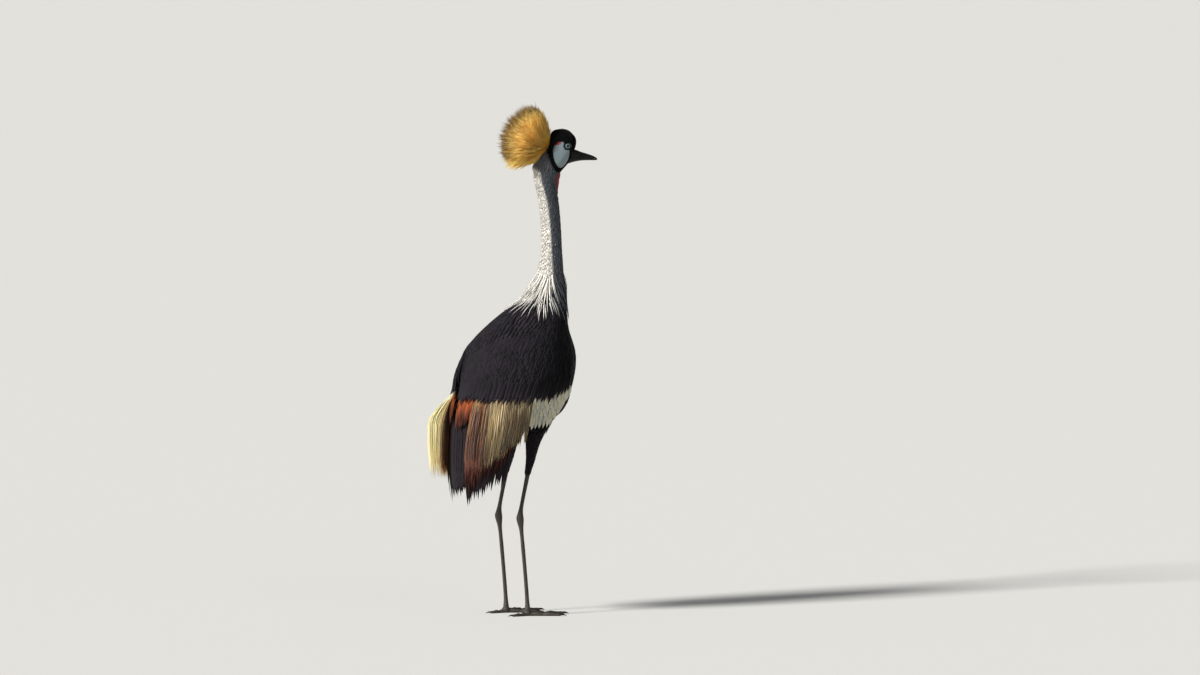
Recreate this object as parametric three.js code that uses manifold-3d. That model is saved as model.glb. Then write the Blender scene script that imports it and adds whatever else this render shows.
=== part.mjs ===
// A grey crowned crane standing alert, life size.
// Millimetres. +X is the way the body faces, +Y is its left side and +Z is up.
import * as THREE from "three";
import { mergeVertices } from "three/addons/utils/BufferGeometryUtils.js";
import Module from "manifold-3d";

const wasm = await Module();
wasm.setup();

// Driving sizes
const GAP = 0.3;
const SEED = 20;
const HEAD_TURN = THREE.MathUtils.degToRad(-20);
const TURN_AXIS_X = 66;
const TURN_STARTS = 900;
const TURN_ENDS = 955;
const NECK_ROOT_Z = 690;
const NECK_MIDDLE_Z = 812;
const CAP_RIM_Z = 1014;
const VANE_THICK = 0.9;
const LEG_SPREAD = 44;
const TOES = [
  { name: "middle", heading: 3, length: 88, half: 5.2 },
  { name: "inner", heading: -31, length: 66, half: 4.7 },
  { name: "outer", heading: 35, length: 71, half: 4.7 },
  { name: "hind", heading: 178, length: 38, half: 4.2 },
];
const EYE = { x: 109, y: 18, z: 1006.5, radius: 7.2 };
const CREST_ROOT = new THREE.Vector3(71, 0, 1002);
const CREST = { bristles: 84, lift: 24, spread: 60, aside: 48, length: 108, shorter: 0.4, pad: 12 };

// Level sections of the plumed body from belly to crown, with the head still facing +X:
// the middle of each section, its reach forward and aft of that, and its half width.
const BODY = [
  { z: 389, mid: -50, fore: 12, aft: 14, half: 8 },
  { z: 394, mid: -49, fore: 44, aft: 42, half: 22 },
  { z: 406, mid: -44, fore: 86, aft: 74, half: 39 },
  { z: 425, mid: -36, fore: 124, aft: 102, half: 57 },
  { z: 450, mid: -28, fore: 139, aft: 120, half: 73 },
  { z: 482, mid: -20, fore: 140, aft: 128, half: 84 },
  { z: 525, mid: -10, fore: 140, aft: 134, half: 88 },
  { z: 557, mid: 0, fore: 131, aft: 134, half: 86 },
  { z: 580, mid: 8, fore: 117, aft: 130, half: 82 },
  { z: 611, mid: 22, fore: 91, aft: 111, half: 75 },
  { z: 647, mid: 42, fore: 67, aft: 82, half: 60 },
  { z: 675, mid: 57, fore: 50, aft: 50, half: 44 },
  { z: 697, mid: 67, fore: 41, aft: 40, half: 35 },
  { z: 720, mid: 75, fore: 32, aft: 33, half: 28 },
  { z: 750, mid: 79, fore: 26, aft: 27, half: 24 },
  { z: 783, mid: 80, fore: 23, aft: 23, half: 21 },
  { z: 836, mid: 78, fore: 22, aft: 22, half: 20 },
  { z: 890, mid: 72, fore: 22.5, aft: 23, half: 20 },
  { z: 915, mid: 66.5, fore: 23, aft: 23.5, half: 20.5 },
  { z: 933, mid: 63.5, fore: 25, aft: 25, half: 21.5 },
  { z: 948, mid: 67, fore: 30, aft: 28, half: 23 },
  { z: 958, mid: 73, fore: 32, aft: 37, half: 24 },
  { z: 970, mid: 83, fore: 32, aft: 42, half: 25.5 },
  { z: 985, mid: 93.5, fore: 30, aft: 42.5, half: 26 },
  { z: 998, mid: 99.5, fore: 28.5, aft: 31, half: 25.5 },
  { z: 1010, mid: 101.5, fore: 30, aft: 29, half: 24.5 },
  { z: 1022, mid: 101.5, fore: 28, aft: 28, half: 23 },
  { z: 1031, mid: 100.5, fore: 22, aft: 22.5, half: 19 },
  { z: 1038.6, mid: 99.5, fore: 13.5, aft: 14, half: 12 },
  { z: 1041.4, mid: 99, fore: 5, aft: 5, half: 4.5 },
];

// Below the flanks the folded wings hang as a curtain, and its sections part from the body's.
const CURTAIN = [
  { z: 236, mid: -62, fore: 70, aft: 96, half: 62 },
  { z: 290, mid: -54, fore: 92, aft: 112, half: 71 },
  { z: 345, mid: -45, fore: 106, aft: 122, half: 79 },
  { z: 400, mid: -36, fore: 118, aft: 128, half: 84 },
  { z: 450, mid: -28, fore: 128, aft: 130, half: 87 },
  ...BODY.filter((row) => row.z > 481),
];

// The plumed leg from inside the flank down to the bare shank, then the shank and the foot bone.
const THIGH = [
  { z: 298, mid: -9, fore: 5.6, aft: 5.8, half: 5.4 },
  { z: 314, mid: -6, fore: 7.2, aft: 7.6, half: 7 },
  { z: 331, mid: -1, fore: 9.5, aft: 10, half: 9 },
  { z: 350, mid: 3, fore: 11, aft: 13.5, half: 12 },
  { z: 372, mid: 8, fore: 14, aft: 19, half: 15 },
  { z: 396, mid: 17, fore: 19, aft: 28, half: 19 },
  { z: 421, mid: 25, fore: 27, aft: 37, half: 22 },
  { z: 446, mid: 30, fore: 33, aft: 42, half: 22 },
  { z: 470, mid: 30, fore: 30, aft: 38, half: 20 },
];
const SHANK = [
  { z: 220, mid: -26.4, fore: 6.4, aft: 6.4, half: 5.8 },
  { z: 230, mid: -24.6, fore: 4.8, aft: 5, half: 4.4 },
  { z: 262, mid: -17.5, fore: 4.3, aft: 4.6, half: 4 },
  { z: 297.7, mid: -9, fore: 4.9, aft: 5.2, half: 4.7 },
];
const TARSUS = [
  { z: 14.3, mid: -8, fore: 6, aft: 6.4, half: 6.2 },
  { z: 26, mid: -8.6, fore: 4.9, aft: 5, half: 4.6 },
  { z: 60, mid: -11, fore: 4.3, aft: 4.6, half: 3.6 },
  { z: 140, mid: -18.6, fore: 4.3, aft: 4.8, half: 3.6 },
  { z: 190, mid: -24, fore: 5, aft: 5.6, half: 4.2 },
  { z: 203, mid: -25.8, fore: 7.4, aft: 8, half: 6.4 },
  { z: 212, mid: -26.8, fore: 8, aft: 8.6, half: 7 },
  { z: 219.7, mid: -26.5, fore: 6.4, aft: 6.6, half: 5.8 },
];

// Bill in the same straight frame: the ridge, the mouth line, the lower edge and the half width.
const BILL = [
  { x: 113.5, ridge: 999, mouth: 980, keel: 967, half: 12 },
  { x: 125.5, ridge: 998.3, mouth: 980.6, keel: 970.5, half: 10 },
  { x: 132.5, ridge: 996.5, mouth: 980.8, keel: 972, half: 8.4 },
  { x: 142.5, ridge: 992.5, mouth: 980.7, keel: 973.5, half: 7 },
  { x: 153.5, ridge: 989, mouth: 980.2, keel: 974, half: 5.6 },
  { x: 164.5, ridge: 985.4, mouth: 979.2, keel: 974, half: 4.2 },
  { x: 173.5, ridge: 981.4, mouth: 977.6, keel: 974, half: 2.6 },
  { x: 178.5, ridge: 977.8, mouth: 976, keel: 974.4, half: 1.1 },
];

const WATTLE = [
  { z: 890, mid: 91, fore: 1.2, aft: 1.2, half: 1.5 },
  { z: 897, mid: 90.5, fore: 3.6, aft: 3.6, half: 4 },
  { z: 912, mid: 89.5, fore: 5.4, aft: 6, half: 7 },
  { z: 930, mid: 89, fore: 6.6, aft: 8, half: 9 },
  { z: 946, mid: 91, fore: 6.4, aft: 9, half: 9.5 },
  { z: 956, mid: 92, fore: 4, aft: 8, half: 8 },
];

const SLATE = { color: 0x2b2a33, roughness: 0.8 };
const PALE_GREY = { color: 0xb9bcc0, roughness: 0.85 };
const VELVET = { color: 0x070608, roughness: 0.95 };
const WHITE = { color: 0xe6e4dc, roughness: 0.8 };
const STRAW = { color: 0xe8cf8e, roughness: 0.75 };
const GOLD = { color: 0xe0993a, roughness: 0.75 };
const CHESTNUT = { color: 0x6e2f18, roughness: 0.7 };
const BLACK = { color: 0x121013, roughness: 0.6 };
const LEG_SKIN = { color: 0x26241f, roughness: 0.6 };
const HORN = { color: 0x151412, roughness: 0.35 };
const RED_SKIN = { color: 0x8f1a14, roughness: 0.55 };
const CHEEK_SKIN = { color: 0xe9edef, roughness: 0.6 };
const EYE_GLASS = { color: 0xaebfc6, roughness: 0.1 };

const { lerp, smoothstep, clamp, degToRad } = THREE.MathUtils;
const point = (x, y, z) => new THREE.Vector3(x, y, z);

// A repeatable random number from -1 to 1.
let seedState = SEED;
function draw() {
  seedState = (seedState * 1664525 + 1013904223) >>> 0;
  return (seedState / 4294967296) * 2 - 1;
}

// One column of a table between its rows, by a cubic through the neighbouring rows.
function between(table, key, at) {
  const last = table.length - 1;
  let i = 0;
  while (i < last - 1 && at > table[i + 1].z) i++;
  const slope = (a, b) => (table[b][key] - table[a][key]) / (table[b].z - table[a].z);
  const here = slope(i, i + 1);
  const start = i > 0 ? (slope(i - 1, i) + here) / 2 : here;
  const end = i + 2 <= last ? (slope(i + 1, i + 2) + here) / 2 : here;
  const step = table[i + 1].z - table[i].z;
  const t = clamp((at - table[i].z) / step, 0, 1);
  const a = table[i][key];
  const b = table[i + 1][key];
  const bend = t * (1 - t);
  return lerp(a, b, t * t * (3 - 2 * t)) + step * bend * (start * (1 - t) - end * t);
}

// The head looks to one side, so everything above the throat turns about an upright axis.
function turned(p) {
  const turn = HEAD_TURN * smoothstep(p.z, TURN_STARTS, TURN_ENDS);
  const x = p.x - TURN_AXIS_X;
  const c = Math.cos(turn);
  const s = Math.sin(turn);
  return p.set(TURN_AXIS_X + x * c - p.y * s, x * s + p.y * c, p.z);
}

// A point of a sectioned form at an angle round it, 0 at the front and a quarter turn at the left.
function sectionPoint(table, angle, z) {
  const c = Math.cos(angle);
  const reach = between(table, c > 0 ? "fore" : "aft", z);
  const x = between(table, "mid", z) + reach * c;
  return turned(point(x, between(table, "half", z) * Math.sin(angle), z));
}

function sectionNormal(table, angle, z) {
  const small = 0.02;
  const low = Math.max(table[0].z, z - 1);
  const high = Math.min(table[table.length - 1].z, z + 1);
  const round = sectionPoint(table, angle + small, z).sub(sectionPoint(table, angle - small, z));
  const up = sectionPoint(table, angle, high).sub(sectionPoint(table, angle, low));
  return round.cross(up).normalize();
}

function over(table, angle, z, height) {
  const p = sectionPoint(table, angle, z);
  return height === 0 ? p : p.addScaledVector(sectionNormal(table, angle, z), height);
}

// A triangle list as a closed body with its faces pointing out.
function body(vertices, triangles) {
  let volume = 0;
  for (const [a, b, c] of triangles) {
    volume += vertices[a].dot(vertices[b].clone().cross(vertices[c]));
  }
  const list = volume < 0 ? triangles.map(([a, b, c]) => [a, c, b]) : triangles;
  const geometry = new THREE.BufferGeometry();
  geometry.setAttribute(
    "position",
    new THREE.Float32BufferAttribute(vertices.flatMap((p) => p.toArray()), 3),
  );
  geometry.setIndex(list.flat());
  return geometry;
}

// A body through rings of equally many points, closed flat at both ends or run to a tip.
function loft(rings, tip) {
  const n = rings[0].length;
  const vertices = rings.flat();
  const triangles = [];
  for (let i = 0; i + 1 < rings.length; i++) {
    for (let j = 0; j < n; j++) {
      const a = i * n + j;
      const b = i * n + ((j + 1) % n);
      triangles.push([a, b, b + n], [a, b + n, a + n]);
    }
  }
  for (let j = 1; j + 1 < n; j++) triangles.push([0, j + 1, j]);
  const end = (rings.length - 1) * n;
  if (tip) {
    vertices.push(tip);
    for (let j = 0; j < n; j++) {
      triangles.push([end + j, end + ((j + 1) % n), vertices.length - 1]);
    }
  } else {
    for (let j = 1; j + 1 < n; j++) triangles.push([end, end + j, end + j + 1]);
  }
  return body(vertices, triangles);
}

// A closed geometry as a solid that can be joined and cut.
function solid(geometry) {
  const bare = geometry.clone();
  bare.deleteAttribute("normal");
  bare.deleteAttribute("uv");
  const merged = mergeVertices(bare, 1e-4);
  return new wasm.Manifold(
    new wasm.Mesh({
      numProp: 3,
      vertProperties: merged.attributes.position.array,
      triVerts: new Uint32Array(merged.index.array),
    }),
  );
}

const join = (solids) => wasm.Manifold.union(solids);

// The largest closed surface of a solid, which drops scraps and fills sealed hollows.
function largest(made) {
  return made.decompose().sort((a, b) => b.volume() - a.volume())[0];
}

function levels(from, to, steps) {
  return Array.from({ length: steps + 1 }, (_, i) => lerp(from, to, i / steps));
}

// The part of a sectioned form between the levels given, raised by grow all over.
function sectioned(table, heights, around, grow = 0) {
  const rings = heights.map((z) =>
    levels(0, 2 * Math.PI, around)
      .slice(0, around)
      .map((angle) => over(table, angle, z, grow)),
  );
  return solid(loft(rings));
}

// Everything on one side of a plane, as a large box.
function halfSpace(through, facing) {
  const size = 4000;
  const box = new THREE.BoxGeometry(size, size, size);
  box.translate(0, 0, size / 2);
  const turn = new THREE.Quaternion().setFromUnitVectors(point(0, 0, 1), facing.clone().normalize());
  box.applyQuaternion(turn);
  box.translate(through.x, through.y, through.z);
  return solid(box);
}

function ball(centre, radius, wide = 16, high = 12) {
  const geometry = new THREE.SphereGeometry(radius, wide, high);
  geometry.translate(centre.x, centre.y, centre.z);
  return solid(geometry);
}

// How wide a vane is along its length, as a share of its widest, for four kinds of feather.
const LANCE = [[0, 0.5], [0.3, 0.95], [0.68, 0.85]];
const BROAD = [[0, 0.5], [0.3, 1], [0.86, 0.8]];
const PLUME = [[0, 0.6], [0.3, 1], [0.75, 0.62]];
const FAR_PLUME = [[0, 0.6], [0.17, 0.85], [0.33, 1], [0.75, 0.62]];

// Where along their length the loose plumes begin to stand off the wing, and where they stand off in full,
// and by how much, least at the front of the wing and most at its rear.
const PUFF_FAR = { starts: 0.17, full: 0.44 };
const PUFF_NEAR = { starts: 0.26, full: 0.6 };
const PUFF_RISE = { least: 4, most: 43, growth: 4 };

// How far the dark hem climbs towards the rear, and the white panel's lower edge towards the front.
const HEM_CLIMB = { far: 20, near: 6 };
const PANEL_CLIMB = 30;

// A vane through the points of a path, which gives the place, the way across and the way up at a share.
function vane(path, half, shape, roll) {
  const small = 0.01;
  const ring = (share, wide) => {
    const { at, up } = path(share);
    const along = path(share + small).at.sub(path(share - small).at).normalize();
    const across = up.clone().cross(along).normalize().applyAxisAngle(along, roll);
    const rise = along.clone().cross(across).normalize().multiplyScalar(VANE_THICK / 2);
    const edge = across.multiplyScalar(half * wide);
    const left = [at.clone().sub(edge).sub(rise), at.clone().sub(edge).add(rise)];
    const right = [at.clone().add(edge).add(rise), at.clone().add(edge).sub(rise)];
    return [...left, ...right];
  };
  return solid(loft(shape.map(([share, wide]) => ring(share, wide)), path(1).at));
}

// A path over a sectioned form from one angle and level to another, with its height over the form.
function lie(table, from, to, height) {
  return (share) => {
    const angle = lerp(from[0], to[0], share);
    const z = lerp(from[1], to[1], share);
    return { at: over(table, angle, z, height(share)), up: sectionNormal(table, angle, z) };
  };
}

// Heights along a feather: sunk at the root, out by the clearing share, and at its lift to the tip.
function rising(sunk, cleared, tip, share = 0.18) {
  return (t) => (t < share ? lerp(sunk, cleared, t / share) : lerp(cleared, tip, (t - share) / (1 - share)));
}

// A row of feathers side by side, from one angle round the form to another.
function row({ table, side, count, from, to, root, tip, sweep, half, shape, height, roll = 0, puff }) {
  return Array.from({ length: count }, (_, k) => {
    const t = (k + 0.5) / count;
    const angle = degToRad(lerp(from, to, t) + draw() * 0.6);
    const end = angle + degToRad(sweep(t));
    const extra = puff ? puff.rise(t) : 0;
    const path = lie(
      table,
      [side * angle, root(t) + draw() * 2],
      [side * end, tip(t) + draw() * 4],
      (share) => height(share) + (extra ? extra * smoothstep(share, puff.starts, puff.full) : 0),
    );
    return vane(path, half(t), shape, side * roll);
  });
}

// A curved plate over a patch of a sectioned form, thinned towards its edges.
function plate({ table, side, from, to, low, high, inner, outer, columns, rows }) {
  const face = (height) =>
    levels(0, 1, columns).map((s) =>
      levels(0, 1, rows).map((t) => {
        const edge = Math.min(s, 1 - s, t, 1 - t);
        const z = lerp(low(s), high(s), t);
        return over(table, side * degToRad(lerp(from, to, s)), z, height(z, edge));
      }),
    );
  const inside = face(() => inner).flat();
  const outside = face((z, edge) => outer(z) * Math.min(1, 0.35 + 4 * edge)).flat();
  const n = rows + 1;
  const shift = inside.length;
  const triangles = [];
  for (let i = 0; i < columns; i++) {
    for (let j = 0; j < rows; j++) {
      const a = i * n + j;
      const [b, c, d] = [a + n, a + n + 1, a + 1];
      triangles.push([a, b, c], [a, c, d]);
      triangles.push([a + shift, c + shift, b + shift], [a + shift, d + shift, c + shift]);
    }
  }
  const wall = (a, b) => triangles.push([b, a, a + shift], [b, a + shift, b + shift]);
  for (let i = 0; i < columns; i++) {
    wall(i * n, (i + 1) * n);
    wall((i + 1) * n + rows, i * n + rows);
  }
  for (let j = 0; j < rows; j++) {
    wall(j + 1, j);
    wall(columns * n + j, columns * n + j + 1);
  }
  return solid(body([...inside, ...outside], triangles));
}

const crane = new THREE.Group();

function add(name, made, look) {
  const mesh = largest(made).getMesh();
  const geometry = new THREE.BufferGeometry();
  geometry.setAttribute("position", new THREE.BufferAttribute(mesh.vertProperties, 3));
  geometry.setIndex(new THREE.BufferAttribute(mesh.triVerts, 1));
  geometry.computeVertexNormals();
  const piece = new THREE.Mesh(geometry, new THREE.MeshStandardMaterial({ metalness: 0, ...look }));
  piece.name = name;
  crane.add(piece);
  return made;
}

// Torso, with the mantle feathers of the back on it
const TORSO_AROUND = 22;
const torsoLevels = [389, 394, 405, 421, 446, 482, 520, 552, 582, 612, 642, 668, NECK_ROOT_Z];
const torsoCore = sectioned(BODY, torsoLevels, TORSO_AROUND);
const torsoCutter = sectioned(BODY, torsoLevels, TORSO_AROUND, GAP);

function mantleRow(side, z, count, from, to, drop, rise) {
  return row({
    table: BODY,
    side,
    count,
    from,
    to,
    root: z,
    tip: (t) => z(t) - drop,
    sweep: () => 1,
    half: () => 10.5,
    shape: LANCE,
    height: rising(-3, 1, rise),
    roll: degToRad(5),
  });
}
const mantle = [1, -1].flatMap((side) => [
  ...mantleRow(side, () => 651, 4, 102, 178, 41, 3.5),
  ...mantleRow(side, (t) => lerp(646, 614, t), 3, 128, 178, 42, 4),
  ...mantleRow(side, () => 580, 1, 170, 179, 50, 4),
]);
add("torso", join([torsoCore, ...mantle]), SLATE);

// Neck in two lengths, the lower one with its hackles
const lowerNeckLevels = [NECK_ROOT_Z + GAP, 704, 725, 752, 785, NECK_MIDDLE_Z];
function hackleRow(z, count, drop, rise, from, to) {
  return [1, -1].flatMap((side) =>
    row({
      table: BODY,
      side,
      count,
      from,
      to,
      root: () => z,
      tip: () => z - drop,
      sweep: () => 2,
      half: () => 6.5,
      shape: LANCE,
      height: rising(-3, 0.9, rise, 0.3),
    }),
  );
}
const hackles = [...hackleRow(703, 5, 58, 3, 24, 178), ...hackleRow(730, 4, 62, 4, 30, 178)];
const neckLower = join([sectioned(BODY, lowerNeckLevels, 16), ...hackles]).subtract(torsoCutter);
add("neck_lower", neckLower, PALE_GREY);

// The nape and throat are parted from the head by one slanting cut.
const HEAD_CUT = { at: turned(point(70, 0, 962)), tilt: 42 };
const headwards = point(
  Math.sin(degToRad(HEAD_CUT.tilt)) * Math.cos(HEAD_TURN),
  Math.sin(degToRad(HEAD_CUT.tilt)) * Math.sin(HEAD_TURN),
  Math.cos(degToRad(HEAD_CUT.tilt)),
);
const above = halfSpace(HEAD_CUT.at.clone().addScaledVector(headwards, GAP / 2), headwards);
const below = halfSpace(
  HEAD_CUT.at.clone().addScaledVector(headwards, -GAP / 2),
  headwards.clone().negate(),
);
const upperNeckLevels = [NECK_MIDDLE_Z + GAP, 850, 888, 914, 932, 948, 961, 974, 986, 999];
const upperNeck = sectioned(BODY, upperNeckLevels, 16).intersect(below);
const neckCutter = sectioned(BODY, upperNeckLevels, 16, GAP);
add("neck_upper", upperNeck, PALE_GREY);

// Head with its lids, parted from the black cap on top
const headLevels = [934, 948, 960, 972, 984, 996, CAP_RIM_Z, 1024, 1032, 1039.8];
const HEAD_AROUND = 18;
const headWhole = sectioned(BODY, headLevels, HEAD_AROUND).intersect(above);
const headCutter = sectioned(BODY, headLevels, HEAD_AROUND, GAP);
const outward = (side) => point(0, side, 0).applyAxisAngle(point(0, 0, 1), HEAD_TURN);
const eyeCentre = (side) => turned(point(EYE.x, side * EYE.y, EYE.z));
function turnedTo(geometry, from, to, at) {
  geometry.applyQuaternion(new THREE.Quaternion().setFromUnitVectors(from, to));
  return geometry.translate(at.x, at.y, at.z);
}
function lids(side) {
  const ring = new THREE.TorusGeometry(6.3, 1.2, 4, 10);
  const at = eyeCentre(side).addScaledVector(outward(side), 4.4);
  return solid(turnedTo(ring, point(0, 0, 1), outward(side), at));
}
const sockets = join([1, -1].map((side) => ball(eyeCentre(side), EYE.radius + GAP, 10, 7)));
const head = join([headWhole, lids(1), lids(-1)])
  .intersect(halfSpace(point(0, 0, CAP_RIM_Z - GAP / 2), point(0, 0, -1)))
  .subtract(sockets);
add("head", head, VELVET);
const cap = headWhole.intersect(halfSpace(point(0, 0, CAP_RIM_Z + GAP / 2), point(0, 0, 1)));
add("cap", cap, VELVET);
for (const [name, side] of [["left", 1], ["right", -1]]) {
  add(`eye_${name}`, ball(eyeCentre(side), EYE.radius, 10, 7), EYE_GLASS);
}

// Bare cheek: an egg shape, its low end narrower, raised on the side of the head
const CHEEK = { x: 95.5, z: 988, half: 19, tall: 29.5, raised: 1.8, points: 16 };
const headRaised = sectioned(BODY, headLevels, HEAD_AROUND, CHEEK.raised);
function cheek(side) {
  const outline = new THREE.Shape(
    levels(0, 2 * Math.PI, CHEEK.points)
      .slice(0, CHEEK.points)
      .map((t) => {
        const up = Math.sin(t);
        return new THREE.Vector2(CHEEK.half * Math.cos(t) * (1 + 0.16 * up), CHEEK.tall * up);
      }),
  );
  const prism = new THREE.ExtrudeGeometry(outline, { depth: 60, bevelEnabled: false });
  prism.rotateX(Math.PI / 2);
  prism.translate(CHEEK.x - TURN_AXIS_X, side > 0 ? 60 : 0, CHEEK.z);
  prism.rotateZ(HEAD_TURN);
  prism.translate(TURN_AXIS_X, 0, 0);
  const rim = new THREE.CylinderGeometry(8.2, 8.2, 60, 12);
  turnedTo(rim, point(0, 1, 0), outward(side), eyeCentre(side));
  return headRaised
    .intersect(solid(prism))
    .intersect(halfSpace(point(0, 0, CAP_RIM_Z - GAP), point(0, 0, -1)))
    .subtract(solid(rim))
    .subtract(headCutter);
}
add("cheek_left", cheek(1), CHEEK_SKIN);
add("cheek_right", cheek(-1), CHEEK_SKIN);

// Bill in two mandibles with the mouth line between them and a nostril through the upper one
function mandible(edge, sign) {
  const rings = BILL.map(({ x, mouth, half, ...rest }) => {
    const line = mouth + sign * (GAP / 2);
    return levels(0, Math.PI, 6).map((t) =>
      turned(point(x, half * Math.cos(t), line + (rest[edge] - line) * Math.sin(t) ** 0.9)),
    );
  });
  return solid(loft(rings)).subtract(headCutter);
}
const NOSTRIL = { x: 142, z: 986, radius: 1.1, stretch: 2.8 };
function nostril() {
  const hole = new THREE.CylinderGeometry(NOSTRIL.radius, NOSTRIL.radius, 30, 8);
  hole.scale(NOSTRIL.stretch, 1, 1);
  hole.translate(NOSTRIL.x - TURN_AXIS_X, 0, NOSTRIL.z);
  hole.rotateZ(HEAD_TURN);
  hole.translate(TURN_AXIS_X, 0, 0);
  return solid(hole);
}
add("bill_upper", mandible("ridge", 1).subtract(nostril()), HORN);
add("bill_lower", mandible("keel", -1), HORN);

// Wattle under the throat
const wattleLevels = [890, 895, 904, 918, 932, 946, 956];
add("wattle", sectioned(WATTLE, wattleLevels, 8).subtract(join([neckCutter, headCutter])), RED_SKIN);

// Crest of stiff bristles fanned from a pad on the hind crown
function bristle(root, way, spin, length) {
  const side = point(0, 1, 0).applyAxisAngle(way, spin);
  const ring = (share, radius) =>
    [0, 1, 2].map((k) =>
      root
        .clone()
        .addScaledVector(way, lerp(CREST.pad * 0.6, length, share))
        .addScaledVector(side.clone().applyAxisAngle(way, (k * 2 * Math.PI) / 3), radius),
    );
  const tip = root.clone().addScaledVector(way, length).add(point(0, 0, -2));
  return solid(loft([ring(0, 0.8), ring(0.82, 1.4)], tip));
}
function crest() {
  const lift = degToRad(CREST.lift);
  const axis = point(-Math.cos(lift), 0, Math.sin(lift));
  const upward = point(Math.sin(lift), 0, Math.cos(lift));
  const sideways = point(0, 1, 0);
  const golden = Math.PI * (3 - Math.sqrt(5));
  const pieces = [ball(CREST_ROOT, CREST.pad, 12, 8)];
  for (let k = 0; k < CREST.bristles; k++) {
    const out = Math.sqrt((k + 0.5) / CREST.bristles);
    const s = Math.sin(k * golden);
    const c = Math.cos(k * golden);
    const tall = degToRad(CREST.spread) * out * s;
    const wide = degToRad(CREST.aside) * out * c;
    const way = axis.clone().multiplyScalar(Math.cos(tall)).addScaledVector(upward, Math.sin(tall));
    way.multiplyScalar(Math.cos(wide)).addScaledVector(sideways, Math.sin(wide)).normalize();
    const length = CREST.length * (1 - CREST.shorter * out ** 6 + 0.03 * draw());
    pieces.push(bristle(CREST_ROOT, way, draw() * Math.PI, length));
  }
  return join(pieces)
    .translate(-TURN_AXIS_X, 0, 0)
    .rotate(0, 0, THREE.MathUtils.radToDeg(HEAD_TURN))
    .translate(TURN_AXIS_X, 0, 0);
}
add("crest", crest().subtract(join([headCutter, neckCutter])), GOLD);

// Folded wing: a plate over the flank that carries the dark coverts, and the tiers that hang below it
const plateShape = (side, grow, deep) => ({
  table: CURTAIN,
  side,
  from: 44,
  to: 168,
  low: (s) => lerp(486, 450, smoothstep(s, 0, 0.3)),
  high: (s) => lerp(602, 545, s * s),
  inner: deep,
  outer: (z) => lerp(4.5, 7, smoothstep(z, 516, 534)) + grow,
  columns: 9,
  rows: 4,
});
function wingPlate(side, grow, deep) {
  return plate(plateShape(side, grow, deep));
}
function band(side, from, to, low, high, inner = 2, outer = 7.4, columns = 6) {
  return plate({
    table: CURTAIN,
    side,
    from,
    to,
    low: () => low,
    high: () => high,
    inner,
    outer: () => outer,
    columns,
    rows: 2,
  });
}

function wing(side, name) {
  const cutter = join([wingPlate(side, GAP, -4), torsoCutter]);
  const own = halfSpace(point(0, side * GAP, 0), point(0, side, 0));
  const hang = (options) => row({ table: CURTAIN, side, roll: degToRad(4), ...options });

  const climb = side > 0 ? HEM_CLIMB.far : HEM_CLIMB.near;
  const hem = (t) => lerp(52, 70, smoothstep(t, 0, 0.36)) - climb * smoothstep(t, 0.5, 0.9);
  const covertRow = (z, count, drop, height) =>
    hang({
      count,
      from: 55,
      to: 160,
      root: z,
      tip: (t) => z(t) - drop(t),
      sweep: () => 5,
      half: () => 20,
      shape: LANCE,
      height,
    });
  add(
    `wing_${name}`,
    join([
      wingPlate(side, 0, -2),
      ...covertRow((t) => lerp(584, 550, t), 4, () => 58, rising(3, 8.6, 11)),
      ...covertRow((t) => lerp(556, 534, t), 5, () => 58, rising(3, 10, 12.5)),
      ...covertRow(() => 529, 5, hem, rising(3, 13, 14, 0.22)),
    ]).subtract(torsoCutter).intersect(own),
    SLATE,
  );

  const whiteRow = (z, low, height, count, from, to) =>
    hang({
      count,
      from,
      to,
      root: () => z,
      tip: (t) => low + lerp(PANEL_CLIMB, 0, smoothstep(t, 0, 0.6)),
      sweep: () => 5,
      half: () => 15,
      shape: BROAD,
      height,
      roll: degToRad(2),
    });
  add(
    `coverts_${name}`,
    join([
      band(side, 40, 90, 490, 514),
      ...whiteRow(503, 437, rising(4, 8.2, 9), 3, 42, 88),
      ...whiteRow(495, 405, rising(4, 6, 6.4), 4, 42, 88),
    ]).subtract(cutter),
    WHITE,
  );

  add(
    `plumes_${name}`,
    join([
      band(side, 94, 148, 490, 514),
      ...hang({
        count: 10,
        from: 92,
        to: 146,
        root: () => 502,
        tip: (t) => lerp(375, 310, smoothstep(t, 0, 0.8)) + draw() * 8,
        sweep: () => 3,
        half: (t) => lerp(5.2, 8, t),
        shape: side > 0 ? FAR_PLUME : PLUME,
        height: rising(5, 10.4, 10.8, 0.12),
        puff: {
          ...(side > 0 ? PUFF_FAR : PUFF_NEAR),
          rise: (t) => lerp(PUFF_RISE.least, PUFF_RISE.most, t ** PUFF_RISE.growth),
        },
      }),
    ]).subtract(cutter).intersect(own),
    STRAW,
  );

  add(
    `secondaries_${name}`,
    join([
      band(side, 94, 172, 452, 480, 2, 6.4),
      ...hang({
        count: 8,
        from: 95,
        to: 170,
        root: () => 474,
        tip: (t) => (t < 0.72 ? lerp(345, 262, t / 0.72) : lerp(420, 405, t)),
        sweep: () => 3,
        half: () => 12,
        shape: BROAD,
        height: rising(4, 6.4, 5.8, 0.2),
        roll: degToRad(5),
      }),
    ]).subtract(cutter).intersect(own),
    CHESTNUT,
  );

  add(
    `primaries_${name}`,
    join([
      band(side, 98, 150, 428, 449.7, -2, 2.2, 4),
      ...hang({
        count: 6,
        from: 102,
        to: 146,
        root: () => 440,
        tip: (t) => lerp(285, 246, t),
        sweep: () => 5,
        half: () => 8.5,
        shape: BROAD,
        height: rising(-1, 1.6, 2.4, 0.2),
      }),
    ]).intersect(own),
    BLACK,
  );
}
wing(1, "left");
wing(-1, "right");

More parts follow.
